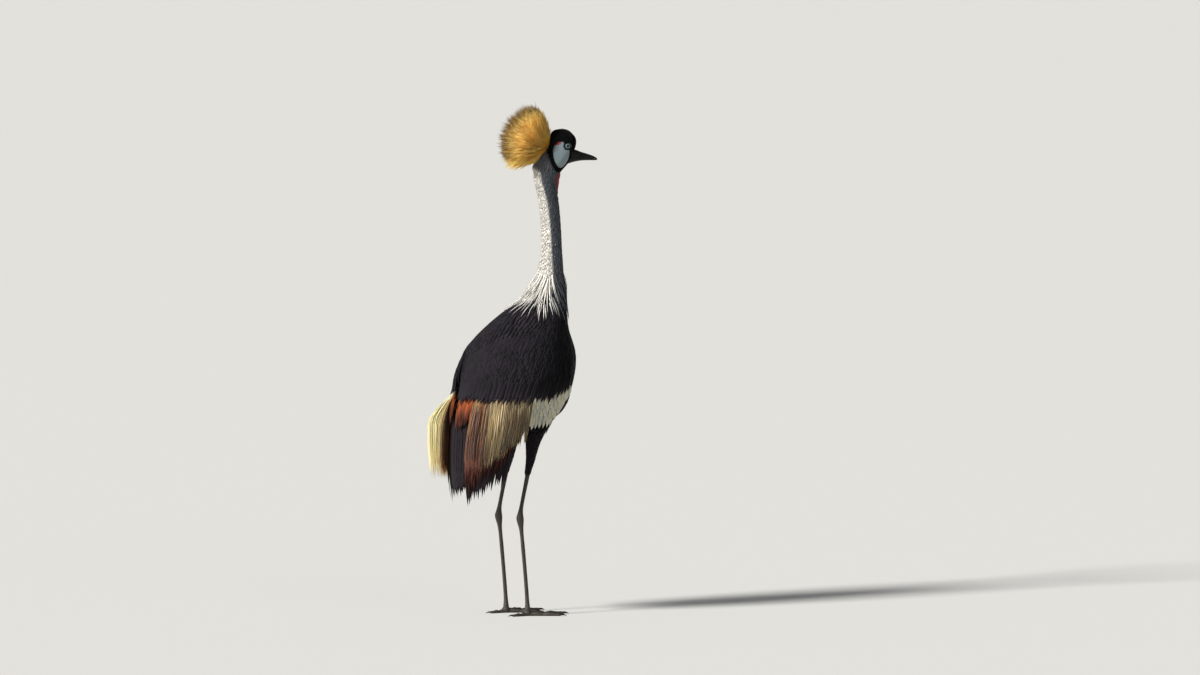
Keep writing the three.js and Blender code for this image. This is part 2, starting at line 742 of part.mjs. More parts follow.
// Tail, hanging steeply between the wings
const tail = join([
  band(1, 154, 206, 424, 449.7, -13, -3, 6),
  ...row({
    table: CURTAIN,
    side: 1,
    count: 5,
    from: 157,
    to: 203,
    root: () => 438,
    tip: () => 262,
    sweep: () => 0,
    half: () => 12,
    shape: BROAD,
    height: rising(-8, -2.6, -3.4, 0.15),
    roll: degToRad(9),
  }),
]);
add("tail", tail.subtract(torsoCutter), BLACK);

// Legs: thigh out of the flank, shank, long foot bone and a foot of four toes with claws
const aside = (made, side) => made.translate(0, side * LEG_SPREAD, 0);
const legHeights = (table) => table.map((line) => line.z);
function toe({ heading, length, half }) {
  const shape = [[0, 1.25], [0.3, 1], [0.46, 0.84], [0.64, 0.94], [1, 0.62]];
  const rings = shape.map(([share, wide]) => {
    const r = half * wide;
    return [[-0.6, 0], [0.6, 0], [1, 0.85], [0.55, 1.7], [-0.55, 1.7], [-1, 0.85]].map(([a, up]) =>
      point(share * length, a * r, up * r),
    );
  });
  return placeToe(solid(loft(rings)), heading);
}
function claw({ heading, length, half }) {
  const ring = (x, r, low) =>
    [0, 1, 2, 3, 4].map((k) => {
      const t = ((k + 0.5) * 2 * Math.PI) / 5;
      return point(length + x, r * Math.sin(t), low + r + r * Math.cos(t));
    });
  const base = half * 0.44;
  const rings = [ring(GAP, base, 0.9), ring(5, base * 0.9, 1.2), ring(10, base * 0.5, 0.9)];
  return placeToe(solid(loft(rings, point(length + 14, 0, 0.5))), heading);
}
const TOE_HUB_X = -8;
const placeToe = (made, heading) => made.rotate(0, 0, heading).translate(TOE_HUB_X, 0, 0);
function mirrored(toeShape, side) {
  return { ...toeShape, heading: side * toeShape.heading };
}
for (const [name, side] of [["left", 1], ["right", -1]]) {
  const thigh = aside(sectioned(THIGH, legHeights(THIGH), 14), side);
  add(`thigh_${name}`, thigh.subtract(torsoCutter), SLATE);
  add(`shank_${name}`, aside(sectioned(SHANK, legHeights(SHANK), 10), side), LEG_SKIN);
  add(`tarsus_${name}`, aside(sectioned(TARSUS, legHeights(TARSUS), 10), side), LEG_SKIN);
  const hub = new THREE.CylinderGeometry(6, 8.4, 14, 12);
  hub.rotateX(Math.PI / 2);
  hub.translate(TOE_HUB_X, 0, 7);
  const toes = TOES.map((shape) => toe(mirrored(shape, side)));
  add(`foot_${name}`, aside(join([solid(hub), ...toes]), side), LEG_SKIN);
  for (const shape of TOES) {
    add(`claw_${shape.name}_${name}`, aside(claw(mirrored(shape, side)), side), HORN);
  }
}

// The origin is under the middle of the crane's box, on the floor.
const box = new THREE.Box3().setFromObject(crane);
const middle = box.getCenter(point(0, 0, 0));
for (const piece of crane.children) {
  piece.geometry.translate(-middle.x, -middle.y, -box.min.z);
}
export default crane;
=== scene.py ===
# %% [markdown]
# # A grey crowned crane, life size
# The bird stands on its long legs with its back half towards us and its head turned a little to
# its right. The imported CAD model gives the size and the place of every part, in metres. Here one
# skin is laid just inside those solids, and then the plumage is grown over it feather by feather.

# %% Open the frame
import math

import bpy
import numpy as np
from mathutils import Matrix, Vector
from mathutils.bvhtree import BVHTree


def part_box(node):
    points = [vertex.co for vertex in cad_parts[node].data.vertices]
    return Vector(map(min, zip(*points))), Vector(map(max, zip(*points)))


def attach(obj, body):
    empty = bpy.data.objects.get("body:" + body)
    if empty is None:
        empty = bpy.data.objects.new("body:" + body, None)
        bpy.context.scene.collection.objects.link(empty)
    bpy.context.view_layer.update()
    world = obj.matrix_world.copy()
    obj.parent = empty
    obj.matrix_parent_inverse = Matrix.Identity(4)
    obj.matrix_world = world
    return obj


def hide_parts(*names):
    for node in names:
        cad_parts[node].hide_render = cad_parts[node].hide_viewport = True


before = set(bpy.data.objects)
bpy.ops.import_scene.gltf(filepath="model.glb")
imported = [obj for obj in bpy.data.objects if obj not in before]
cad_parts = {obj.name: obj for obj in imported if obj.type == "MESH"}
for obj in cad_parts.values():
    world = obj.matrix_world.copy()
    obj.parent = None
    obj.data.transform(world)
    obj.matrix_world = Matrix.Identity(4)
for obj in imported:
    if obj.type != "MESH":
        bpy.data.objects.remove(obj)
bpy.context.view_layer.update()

MM = 0.001
SIDES = (("left", 1), ("right", -1))
rng = np.random.default_rng(20)

# %% [markdown]
# ## Sections
# A bird under its plumage is a stack of rounded sections. Each table row gives a height, the
# middle of the section, its reach forward and aft of that, and its half width, in millimetres,
# as they are in the CAD source. The bill's rows run along it instead, with the heights of its
# ridge, mouth line and keel. Working from the same rows keeps skin, feathers and solids
# together, where sculpting by eye would let them drift apart.


# %% Tables of sections
def sections(*rows):
    return np.array(rows, float)


BODY = sections(
    (389, -50, 12, 14, 8), (394, -49, 44, 42, 22), (406, -44, 86, 74, 39), (425, -36, 124, 102, 57),
    (450, -28, 139, 120, 73), (482, -20, 140, 128, 84), (525, -10, 140, 134, 88), (557, 0, 131, 134, 86),
    (580, 8, 117, 130, 82), (611, 22, 91, 111, 75), (647, 42, 67, 82, 60), (675, 57, 50, 50, 44),
    (697, 67, 41, 40, 35), (720, 75, 32, 33, 28), (750, 79, 26, 27, 24), (783, 80, 23, 23, 21),
    (836, 78, 22, 22, 20), (890, 72, 22.5, 23, 20), (915, 66.5, 23, 23.5, 20.5), (933, 63.5, 25, 25, 21.5),
    (948, 67, 30, 28, 23), (958, 73, 32, 37, 24), (970, 83, 32, 42, 25.5), (985, 93.5, 30, 42.5, 26),
    (998, 99.5, 28.5, 31, 25.5), (1010, 101.5, 30, 29, 24.5), (1022, 101.5, 28, 28, 23),
    (1031, 100.5, 22, 22.5, 19), (1038.6, 99.5, 13.5, 14, 12), (1041.4, 99, 5, 5, 4.5),
)
HANGING_WINGS = sections(
    (236, -62, 70, 96, 62), (290, -54, 92, 112, 71), (345, -45, 106, 122, 79), (400, -36, 118, 128, 84),
    (450, -28, 128, 130, 87),
)
CURTAIN = np.vstack([HANGING_WINGS, BODY[BODY[:, 0] > 481]])
THIGH = sections(
    (298, -9, 5.6, 5.8, 5.4), (314, -6, 7.2, 7.6, 7), (331, -1, 9.5, 10, 9), (350, 3, 11, 13.5, 12),
    (372, 8, 14, 19, 15), (396, 17, 19, 28, 19), (421, 25, 27, 37, 22), (446, 30, 33, 42, 22),
    (470, 30, 30, 38, 20),
)
LEG = sections(
    (8, -8, 6, 6.4, 6.2), (14.3, -8, 6, 6.4, 6.2), (26, -8.6, 4.9, 5, 4.6), (60, -11, 4.3, 4.6, 3.6),
    (140, -18.6, 4.3, 4.8, 3.6), (190, -24, 5, 5.6, 4.2), (203, -25.8, 7.4, 8, 6.4),
    (212, -26.8, 8, 8.6, 7), (220, -26.4, 6.4, 6.4, 5.8), (230, -24.6, 4.8, 5, 4.4),
    (262, -17.5, 4.3, 4.6, 4), (298, -9, 4.9, 5.2, 4.7), (330, -2, 5.5, 5.5, 5),
)
WATTLE = sections(
    (890, 91, 1.2, 1.2, 1.5), (897, 90.5, 3.6, 3.6, 4), (912, 89.5, 5.4, 6, 7),
    (930, 89, 6.6, 8, 9), (946, 91, 6.4, 9, 9.5), (956, 92, 4, 8, 8),
)
BILL = sections(
    (113.5, 999, 980, 967, 12), (125.5, 998.3, 980.6, 970.5, 10), (132.5, 996.5, 980.8, 972, 8.4),
    (142.5, 992.5, 980.7, 973.5, 7), (153.5, 989, 980.2, 974, 5.6), (164.5, 985.4, 979.2, 974, 4.2),
    (173.5, 981.4, 977.6, 974, 2.6), (178.5, 977.8, 976, 974.4, 1.1),
)
MID, FORE, AFT, HALF = 1, 2, 3, 4
RIDGE, MOUTH, KEEL = 1, 2, 3
LEG_SPREAD = 44
HEAD_TURN = math.radians(-20)
TURN_AXIS_X = 66
TURN_STARTS, TURN_ENDS = 900, 955
TARSUS_MIDDLE_X = -18.7


def middle(node, axis):
    low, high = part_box(node)
    return (low[axis] + high[axis]) / 2 / MM


between_legs = (middle("tarsus_left", 1) + middle("tarsus_right", 1)) / 2
SHIFT = np.array([middle("tarsus_left", 0) - TARSUS_MIDDLE_X, between_legs, 0])
print("tables to frame, mm:", SHIFT.round(3))

# %% [markdown]
# ## From rows to a surface
# Small functions turn a table into a surface: a smooth column between rows, the turn of the head
# above the throat, and a point at an angle round the form with the way out of it.


# %% Points on and over a sectioned form
def between(table, column, at):
    rows, values = table[:, 0], table[:, column]
    slopes = np.diff(values) / np.diff(rows)
    ends = np.concatenate([slopes[:1], (slopes[1:] + slopes[:-1]) / 2, slopes[-1:]])
    i = np.clip(np.searchsorted(rows, at) - 1, 0, len(rows) - 2)
    step = rows[i + 1] - rows[i]
    t = np.clip((at - rows[i]) / step, 0, 1)
    bend = step * t * (1 - t) * (ends[i] * (1 - t) - ends[i + 1] * t)
    return values[i] + (values[i + 1] - values[i]) * t * t * (3 - 2 * t) + bend


def smooth(value, low=0.0, high=1.0):
    t = np.clip((value - low) / (high - low), 0, 1)
    return t * t * (3 - 2 * t)


def value_at(value, at):
    """A number as it is, or what a function says at a place."""
    return value(at) if callable(value) else value


def turned(p, way=1):
    turn = way * HEAD_TURN * smooth(p[..., 2], TURN_STARTS, TURN_ENDS)
    x, y = p[..., 0] - TURN_AXIS_X, p[..., 1]
    c, s = np.cos(turn), np.sin(turn)
    return np.stack([TURN_AXIS_X + x * c - y * s, x * s + y * c, p[..., 2]], -1)


def straight(p):
    """The place of a point in the bird's own straight frame, before the head turns."""
    return turned(p - SHIFT, -1)


def on_section(table, angle, z, aside=0.0):
    angle, z = np.broadcast_arrays(np.asarray(angle, float), np.asarray(z, float))
    c = np.cos(angle)
    reach = np.where(c > 0, between(table, FORE, z), between(table, AFT, z))
    y = between(table, HALF, z) * np.sin(angle) + aside
    return turned(np.stack([between(table, MID, z) + reach * c, y, z], -1)) + SHIFT


def unit(v):
    return v / np.maximum(np.linalg.norm(v, axis=-1, keepdims=True), 1e-9)


def outward(table, angle, z, aside=0.0):
    low, high = np.maximum(z - 1, table[0, 0]), np.minimum(z + 1, table[-1, 0])
    round_it = on_section(table, angle + 0.02, z, aside) - on_section(table, angle - 0.02, z, aside)
    up_it = on_section(table, angle, high, aside) - on_section(table, angle, low, aside)
    return unit(np.cross(round_it, up_it))


def even_levels(table, low, high, count):
    """Heights that are evenly spaced along the outline, closer where it curves over."""
    z = np.linspace(low, high, 2000)
    run = np.hypot(np.gradient(z), np.gradient(between(table, FORE, z)))
    run = np.maximum(run, np.abs(np.gradient(between(table, AFT, z))))
    along = np.cumsum(run)
    return np.interp(np.linspace(along[0], along[-1], count), along, z)


# %% [markdown]
# ## Finishes
# Every finish is a small node tree. Plumage reads two maps that are made with the feathers: the
# vane map runs across and along each feather, for its barbs and shaft, and the colour attribute
# holds the bird's markings and painted shade. That way skin and feathers share the same colours in
# any view.


# %% Small helpers for node trees
def colour(r, g, b):
    """A colour given as on a screen, 0 to 255, as the linear values a shader takes."""
    c = np.array([r, g, b]) / 255
    return np.where(c <= 0.04045, c / 12.92, ((c + 0.055) / 1.055) ** 2.4)


def step(tree, kind, *inputs, **settings):
    made = tree.nodes.new("ShaderNode" + kind)
    for key, value in settings.items():
        setattr(made, key, value)
    for socket, value in zip(made.inputs, inputs):
        if isinstance(value, bpy.types.NodeSocket):
            tree.links.new(value, socket)
        elif value is not None:
            socket.default_value = value
    return made


def sums(tree, operation, *inputs):
    return step(tree, "Math", *inputs, operation=operation).outputs[0]


def ranged(tree, number, low, high, new_low, new_high):
    return step(tree, "MapRange", number, low, high, new_low, new_high).outputs[0]


def new_look(name, **sockets):
    look = bpy.data.materials.new(name)
    look.use_nodes = True
    shader = look.node_tree.nodes["Principled BSDF"]
    for key, value in sockets.items():
        shader.inputs[key.replace("_", " ")].default_value = value
    return look, look.node_tree, shader


def grain(tree, scale, detail, stretch=None):
    """A noise over the whole object, drawn out along an axis where a stretch is given."""
    place = step(tree, "TexCoord").outputs["Object"]
    if stretch:
        place = step(tree, "Mapping", place, None, None, stretch).outputs[0]
    return step(tree, "TexNoise", place, None, scale, detail).outputs[0]


def mottle(tree, scale, low, high):
    return ranged(tree, grain(tree, scale, 3.0), 0.3, 0.7, low, high)


def show_marks(tree, shader, light):
    """The colour attribute, lighter or darker by a number, as the base colour."""
    marks = step(tree, "Attribute", attribute_name="colour").outputs["Color"]
    made = step(tree, "VectorMath", marks, operation="SCALE")
    tree.links.new(light, made.inputs["Scale"])
    tree.links.new(made.outputs[0], shader.inputs["Base Color"])


def show_ramp(tree, shader, number, *stops):
    """Base colours by a number: each stop is a place from 0 to 1 and a colour."""
    ramp = step(tree, "ValToRGB", number)
    points = ramp.color_ramp.elements
    for point, (at, shade) in zip(points, stops):
        point.position, point.color = at, (*colour(*shade), 1)
    for at, shade in stops[2:]:
        points.new(at).color = (*colour(*shade), 1)
    tree.links.new(ramp.outputs[0], shader.inputs["Base Color"])


def raise_by(tree, shader, height, strength, distance):
    bump = tree.nodes.new("ShaderNodeBump")
    bump.inputs["Strength"].default_value = strength
    bump.inputs["Distance"].default_value = distance
    tree.links.new(height, bump.inputs["Height"])
    tree.links.new(bump.outputs[0], shader.inputs["Normal"])


# %% The finish of plumage
def plumage(name, barbs, slant, contrast, shaft, roughness=0.7, sheen=0.15, gloss=0.35, glow=0.0,
            warmth=(1.0, 1.0, 1.0, 1)):
    look, tree, shader = new_look(
        name, Roughness=roughness, Specular_IOR_Level=gloss,
        Sheen_Weight=sheen, Sheen_Roughness=0.5, Sheen_Tint=warmth,
        Subsurface_Weight=glow, Subsurface_Scale=0.006, Subsurface_Radius=(1.0, 0.55, 0.2),
    )
    vane = step(tree, "UVMap", uv_map="vane").outputs[0]
    split = step(tree, "SeparateXYZ", vane).outputs
    across = sums(tree, "ABSOLUTE", sums(tree, "MULTIPLY_ADD", split[0], 2.0, -1.0))
    phase = sums(tree, "MULTIPLY", split[1], barbs)
    barb = sums(tree, "SINE", sums(tree, "SUBTRACT", phase, sums(tree, "MULTIPLY", across, slant)))
    quill = ranged(tree, across, 0.0, 0.14, 1.0, 0.0)
    tone = step(tree, "Attribute", attribute_name="tone").outputs["Fac"]
    light = ranged(tree, tone, 0.0, 1.0, 1 - contrast, 1 + contrast)
    light = sums(tree, "MULTIPLY", light, mottle(tree, 30.0, 0.88, 1.1))
    light = sums(tree, "MULTIPLY", light, sums(tree, "MULTIPLY_ADD", barb, 0.1, 0.95))
    light = sums(tree, "ADD", light, sums(tree, "MULTIPLY", quill, shaft))
    show_marks(tree, shader, light)
    raise_by(tree, shader, sums(tree, "MULTIPLY_ADD", barb, 0.4, quill), 0.5, 0.0004)
    return look


feather_look = plumage("slate_feathers", 150.0, 26.0, 0.25, 0.03, 0.75, 0.02, 0.1)
pale_look = plumage("pale_neck_feathers", 40.0, 8.0, 0.1, 0.05, sheen=0.3)
velvet_look = plumage("black_velvet", 20.0, 4.0, 0.3, 0.0, 0.9, 0.03, 0.1)
white_look = plumage("white_coverts", 150.0, 26.0, 0.08, 0.06)
straw_look = plumage("straw_plumes", 60.0, 10.0, 0.2, 0.1, sheen=0.25, glow=0.55)
gold_look = plumage("gold_bristles", 90.0, 0.0, 0.15, 0.0, 0.55, 0.35, 0.3, 0.8, (1.0, 0.66, 0.28, 1))
chestnut_look = plumage("chestnut_vanes", 190.0, 30.0, 0.3, 0.05, sheen=0.0, gloss=0.2)
black_look = plumage("black_vanes", 190.0, 30.0, 0.25, 0.03, sheen=0.03, gloss=0.12)
print(len(bpy.data.materials), "materials so far")

# %% [markdown]
# ## Markings and painted shade
# One function says what colour the bird is at a place, in words of its plumage: velvet black on
# the head, pale grey down the neck, and slate on the body. Painted shade darkens the neck's front
# and the nape under the crest. The skin takes the same colours.

# %% The bird's colours
VELVET = colour(7, 6, 8)
NECK_PALE = colour(228, 222, 211)
# These two are painted shade on the pale neck: its front, and the nape under the crest.
NECK_FRONT_SHADE = colour(46, 55, 65)
NAPE_SHADE = colour(82, 84, 88)
SLATE = colour(30, 26, 31)
SLATE_LIGHT = colour(50, 45, 52)
SLATE_DEEP = colour(22, 19, 23)
# The coverts' white is greyed here as painted shade.
SHADED_WHITE = colour(180, 180, 164)
CREAM = colour(255, 228, 156)
STRAW = colour(222, 172, 112)
# Buff is painted shade on the near wing's straw plumes, and the lock colour below it is painted light.
BUFF = colour(124, 96, 62)
PAINTED_LIGHT_LOCK = colour(255, 206, 136)
CHESTNUT = colour(150, 72, 24)
MAROON = colour(70, 29, 22)
BLACK = colour(26, 19, 24)
GOLD = colour(255, 156, 14)
GOLD_PALE = colour(255, 196, 96)
GOLD_DEEP = colour(255, 140, 4)
BRISTLE_TIP = colour(24, 18, 12)
CHEEK = {"x": 95.5, "z": 988, "half": 19, "tall": 29.5, "egg": 0.16}
CHEEK_BAND = 8.0
CAP_EDGE_Z, CHIN_EDGE_Z = 1003, 951


def mixed(a, b, share):
    return a + (b - a) * np.asarray(share)[..., None]


def cheek_share(q, grown):
    """Above nought inside the cheek's egg outline, grown by so much all round."""
    up = q[..., 2] - CHEEK["z"]
    wide = (CHEEK["half"] + grown) * (1 + CHEEK["egg"] * np.clip(up / CHEEK["tall"], -1.5, 1.5))
    return 1 - np.hypot((q[..., 0] - CHEEK["x"]) / wide, up / (CHEEK["tall"] + grown))


def black_share(p):
    """One on the velvet of the face and crown: a cap, a band round the cheek, and the chin."""
    q = straight(p)
    band = cheek_share(q, CHEEK_BAND) * 30
    cap = q[..., 2] - CAP_EDGE_Z + 0.12 * (q[..., 0] - 80)
    chin = np.where(q[..., 0] > CHEEK["x"] - 4, q[..., 2] - CHIN_EDGE_Z, -20.0)
    return smooth(np.maximum(np.maximum(band, cap), chin), -1.5, 1.5)


def forwardness(q):
    """Where a place of the straight bird is in its section, from -1 at the back to 1 in front."""
    z = np.clip(q[..., 2], BODY[0, 0], BODY[-1, 0])
    off = q[..., 0] - between(BODY, MID, z)
    return off / np.where(off > 0, between(BODY, FORE, z), between(BODY, AFT, z))


def markings_and_painted_shade(p):
    """The pale neck is darkened in front and at the nape as painted shade; the front's edge runs back as it
    climbs.
    """
    q = straight(p)
    z = q[..., 2]
    edge = np.interp(z, [700, 790, 930, 958, 974], [-0.16, -0.46, -0.46, -0.66, -1.1])
    front = smooth(forwardness(q) - edge, -0.1, 0.12)
    neck = mixed(mixed(NECK_PALE, NECK_FRONT_SHADE, front), NAPE_SHADE, smooth(z, 960, 974))
    shown = mixed(SLATE, neck, smooth(z - 20 * front, 684, 730))
    return mixed(shown, VELVET, black_share(p))


# %% [markdown]
# ## From arrays to a mesh
# Plumage is thousands of like forms, which is a job for arrays. Each feather is a thin closed
# lens swept along a path and run to a point at both ends. The bake map gives each feather its
# own small patch, at its root's place on the skin.

# %% Feathers as arrays
LENS = np.array([(-1, 0), (0, 1), (1, 0), (0, -1)], float)
QUILLED = np.array(
    [(-1, 0), (-0.5, 0.8), (0, 1.7), (0.5, 0.8), (1, 0), (0.5, -0.8), (0, -1.2), (-0.5, -0.8)]
)
ROD = np.array([(-0.87, -0.5), (0, 1), (0.87, -0.5)])
PATCH = 0.003


def grow(path, up, half, widths, bake, colours, cross=LENS, thick=0.5, camber=0.0, roll=0.0):
    """Closed feathers along paths of shape (feathers, stations, 3), the first and last a point."""
    count, stations = path.shape[:2]
    sides, inner = len(cross), stations - 2
    along = unit(np.gradient(path, axis=1))
    across = unit(np.cross(up, along))
    rise = np.cross(along, across)
    roll = np.reshape(roll, (-1, 1, 1))
    c, s = np.cos(roll), np.sin(roll)
    across, rise = across * c + rise * s, rise * c - across * s
    wide = (half[:, None] * widths)[:, 1:-1, None, None]
    a, b = cross[:, :1], cross[:, 1:]
    lift = b * wide if cross is ROD else b * thick / 2 - camber * wide * a * a
    rings = path[:, 1:-1, None] + across[:, 1:-1, None] * (wide * a) + rise[:, 1:-1, None] * lift
    points = np.concatenate([path[:, :1], rings.reshape(count, -1, 3), path[:, -1:]], 1)
    station = np.concatenate([[0], np.repeat(np.arange(inner) + 1, sides), [stations - 1]])
    end = len(station) - 1
    vane_u = np.concatenate([[0.5], np.tile(0.5 + cross[:, 0] / 2, inner), [0.5]])
    vane = np.stack([vane_u, np.linspace(0, 1, stations)[station]], -1)
    k = np.arange(sides)
    following = (k + 1) % sides
    base = 1 + np.arange(inner - 1)[:, None] * sides
    quads = [base + k, base + following, base + following + sides, base + k + sides]
    quads = np.stack(quads, -1).reshape(-1, 4)
    root_fan = np.stack([0 * k, 1 + following, 1 + k], -1)
    tip_fan = np.stack([0 * k + end, end - sides + k, end - sides + following], -1)
    tips = np.concatenate([root_fan, tip_fan])
    fan = np.concatenate([tips, quads[:, :3], quads[:, [0, 2, 3]]])
    first, second, third = (points[0][fan[:, i]] - points[0][0] for i in range(3))
    if np.sum(first * np.cross(second, third)) < 0:
        quads, tips = quads[:, ::-1], tips[:, ::-1]
    if colours.ndim == 2:
        colours = np.broadcast_to(colours[:, None], (count, stations, 3))
    start = np.arange(count)[:, None, None] * (end + 1)
    return {
        "points": points.reshape(-1, 3),
        "quads": (quads + start).reshape(-1, 4),
        "tips": (tips + start).reshape(-1, 3),
        "vane": np.tile(vane, (count, 1)),
        "bake": (bake[:, None] + PATCH * (vane - 0.5)).reshape(-1, 2),
        "colour": colours[:, station].reshape(-1, 3),
        "tone": np.repeat(rng.random(count), end + 1),
    }


def finish_piece(piece, look, slot, nodes):
    """What every piece of the bird needs: its finish, its body and what it stands for. The slot is not used.
    """
    piece.data.materials.clear()
    piece.data.materials.append(look)
    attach(piece, "root")
    if nodes:
        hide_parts(*nodes)
    print(f"{piece.name}: {sum(len(p.vertices) - 2 for p in piece.data.polygons)} triangles")


def mark(mesh, colours):
    colours = np.hstack([colours, np.ones((len(colours), 1))])
    mesh.attributes.new("colour", "FLOAT_COLOR", "POINT").data.foreach_set("color", colours.ravel())


def linked(name, data):
    made = bpy.data.objects.new(name, data)
    bpy.context.scene.collection.objects.link(made)
    return made


def coat(name, look, slot, nodes, *batches):
    """Batches of feathers joined to one object."""
    starts = np.cumsum([0] + [len(batch["points"]) for batch in batches])
    joined = {key: np.concatenate([batch[key] for batch in batches]) for key in batches[0]}
    for key in ("quads", "tips"):
        joined[key] = np.concatenate([batch[key] + at for batch, at in zip(batches, starts)])
    quads, tips = joined["quads"], joined["tips"]
    corners = np.concatenate([quads.ravel(), tips.ravel()])
    faces = np.concatenate([np.arange(len(quads)) * 4, quads.size + np.arange(len(tips)) * 3])
    mesh = bpy.data.meshes.new(name)
    mesh.vertices.add(len(joined["points"]))
    mesh.vertices.foreach_set("co", (joined["points"] * MM).ravel())
    mesh.loops.add(len(corners))
    mesh.loops.foreach_set("vertex_index", corners)
    mesh.polygons.add(len(faces))
    mesh.polygons.foreach_set("loop_start", faces)
    mesh.polygons.foreach_set("use_smooth", np.ones(len(faces), bool))
    for title, key in (("vane", "vane"), ("OFBake", "bake")):
        mesh.uv_layers.new(name=title).data.foreach_set("uv", joined[key][corners].ravel())
    mark(mesh, joined["colour"])
    mesh.attributes.new("tone", "FLOAT", "POINT").data.foreach_set("value", joined["tone"])
    mesh.update(calc_edges=True)
    finish_piece(linked(name, mesh), look, slot, nodes)


# %% [markdown]
# ## The skin
# Torso, neck, head and thighs are one skin with no seam. A UV sphere already has rings and
# poles, so its rings are moved onto the body's sections, a little inside the solids by the
# depth of the coat. The thighs are joined to it with a Boolean modifier.


# %% The skin, ring by ring
def added(name, operator, **size):
    """A new primitive with its name and nothing else selected."""
    bpy.ops.object.select_all(action="DESELECT")
    operator(**size)
    made = bpy.context.object
    made.name = name
    return made


def ball(name, segments, rings):
    return added(name, bpy.ops.mesh.primitive_uv_sphere_add, segments=segments, ring_count=rings, radius=1)


def read(piece, what="co"):
    rows = np.empty(len(piece.data.vertices) * 3)
    piece.data.vertices.foreach_get(what, rows)
    return rows.reshape(-1, 3)


def write(piece, points):
    """Moves a piece's points to places in millimetres."""
    piece.data.vertices.foreach_set("co", (points * MM).ravel())
    piece.data.update()


def sphere_on(table, name, levels, around, depth, aside=0.0):
    """A UV sphere whose rings lie on a table's sections, from the top level down."""
    rings = len(levels) - 1
    form = ball(name, around, rings)
    co = read(form)
    ring = np.rint(np.arccos(np.clip(co[:, 2], -1, 1)) * rings / np.pi).astype(int)
    z = np.sort(levels)[::-1][ring]
    angle = np.arctan2(co[:, 1], co[:, 0])
    deep = np.broadcast_to(value_at(depth, z), z.shape)
    moved = on_section(table, angle, z, aside) - outward(table, angle, z, aside) * deep[:, None]
    pole = (ring == 0) | (ring == rings)
    ends = np.stack([between(table, MID, z), 0 * z + aside, z], -1)
    ends[:, 2] += np.where(ring == 0, -deep, deep)
    moved[pole] = turned(ends[pole]) + SHIFT
    write(form, moved)
    bpy.ops.object.shade_smooth()
    return form


def combine(piece, other, operation):
    """Joins or cuts with a Boolean modifier that is applied at once."""
    bpy.ops.object.select_all(action="DESELECT")
    bpy.context.view_layer.objects.active = piece
    piece.select_set(True)
    change = piece.modifiers.new("combine", "BOOLEAN")
    change.operation = operation
    change.object = other
    change.solver = "EXACT"
    bpy.ops.object.modifier_apply(modifier="combine")
    bpy.data.objects.remove(other)


def coat_depth(z):
    return np.interp(z, [389, 640, 720, 930, 965, 1041], [6, 6, 3.6, 3.4, 1.8, 1.8])


def thigh_depth(z):
    return np.interp(z, [298, 330, 400], [1.2, 2.5, 4.5])


skin = sphere_on(BODY, "skin", even_levels(BODY, 389, 1041.4, 150), 64, coat_depth)
for name, side in SIDES:
    levels = even_levels(THIGH, 298, 468, 26)
    combine(skin, sphere_on(THIGH, "thigh", levels, 28, thigh_depth, side * LEG_SPREAD), "UNION")
print("skin:", len(skin.data.polygons), "faces")

# %% [markdown]
# The eye sockets are cut out of the skin the same way: a ball for the eye itself, and a flat
# dish round it, so that the lids lie in a hollow of the face.

# %% Eye sockets
EYE = {"x": 109, "y": 18, "z": 1006.5, "radius": 7.2, "gap": 0.2}
DISH = {"wide": 9.6, "deep": 4.0, "off": 7.5}
SKIN_SHADE = 0.7


def head_point(x, y, z):
    return turned(np.array([x, y, z], float)) + SHIFT


head_right = np.array([math.sin(HEAD_TURN), -math.cos(HEAD_TURN), 0])
eye_centres = {name: head_point(EYE["x"], side * EYE["y"], EYE["z"]) for name, side in SIDES}
for name, side in SIDES:
    socket = ball("socket", 32, 20)
    write(socket, read(socket) * (EYE["radius"] + EYE["gap"]) + eye_centres[name])
    combine(skin, socket, "DIFFERENCE")
    dish = ball("dish", 40, 24)
    co = read(dish)
    flatter = np.outer(co @ head_right, head_right) * (DISH["deep"] - DISH["wide"])
    write(dish, co * DISH["wide"] + flatter + eye_centres[name] - side * head_right * DISH["off"])
    combine(skin, dish, "DIFFERENCE")

mark(skin.data, markings_and_painted_shade(read(skin) / MM) * SKIN_SHADE)
skin_look, tree, shader = new_look("skin_under_plumage", Roughness=0.8)
show_marks(tree, shader, mottle(tree, 90.0, 0.8, 1.15))
raise_by(tree, shader, mottle(tree, 500.0, 0.0, 1.0), 0.5, 0.0005)
finish_piece(
    skin, skin_look, "slate_plumage",
    ["torso", "neck_lower", "neck_upper", "head", "cap", "thigh_left", "thigh_right"],
)

# %% [markdown]
# ## Combing
# Small feathers follow the skin. From its root each one takes short steps in the lie's
# direction, and after each step it is set back on the nearest place of the skin, raised by its
# own height there. Roots stand in staggered rows, as they do in a real feather tract.

# %% Roots and combing
skin_tree = BVHTree.FromPolygons(
    (read(skin) / MM).tolist(), [tuple(p.vertices) for p in skin.data.polygons]
)
normals = read(skin, "normal")
face_normals = np.array([unit(normals[list(p.vertices)].mean(0)) for p in skin.data.polygons])
BAKE_TALL = 1100
FULL_TURN = 2 * math.pi


def settle(points):
    """The nearest places on the skin and the way out of it there."""
    found = [skin_tree.find_nearest(Vector(p)) for p in points]
    return np.array([tuple(f[0]) for f in found]), face_normals[[f[2] for f in found]]


def comb(roots, flow, length, heights):
    """Paths over the skin with a height at each station, and the way up along them.

    The flow is one direction, one for each root, or a function of the places.
    """
    steps = heights.shape[-1] - 1
    at, out = settle(roots)
    path, up = [at], [out]
    for _ in range(steps):
        way = value_at(flow, at)
        way = unit(way - out * np.sum(way * out, -1, keepdims=True))
        at, out = settle(at + way * (length / steps)[:, None])
        path.append(at)
        up.append(out)
    path, up = np.stack(path, 1), np.stack(up, 1)
    return path + up * np.broadcast_to(heights, path.shape[:2])[..., None], up


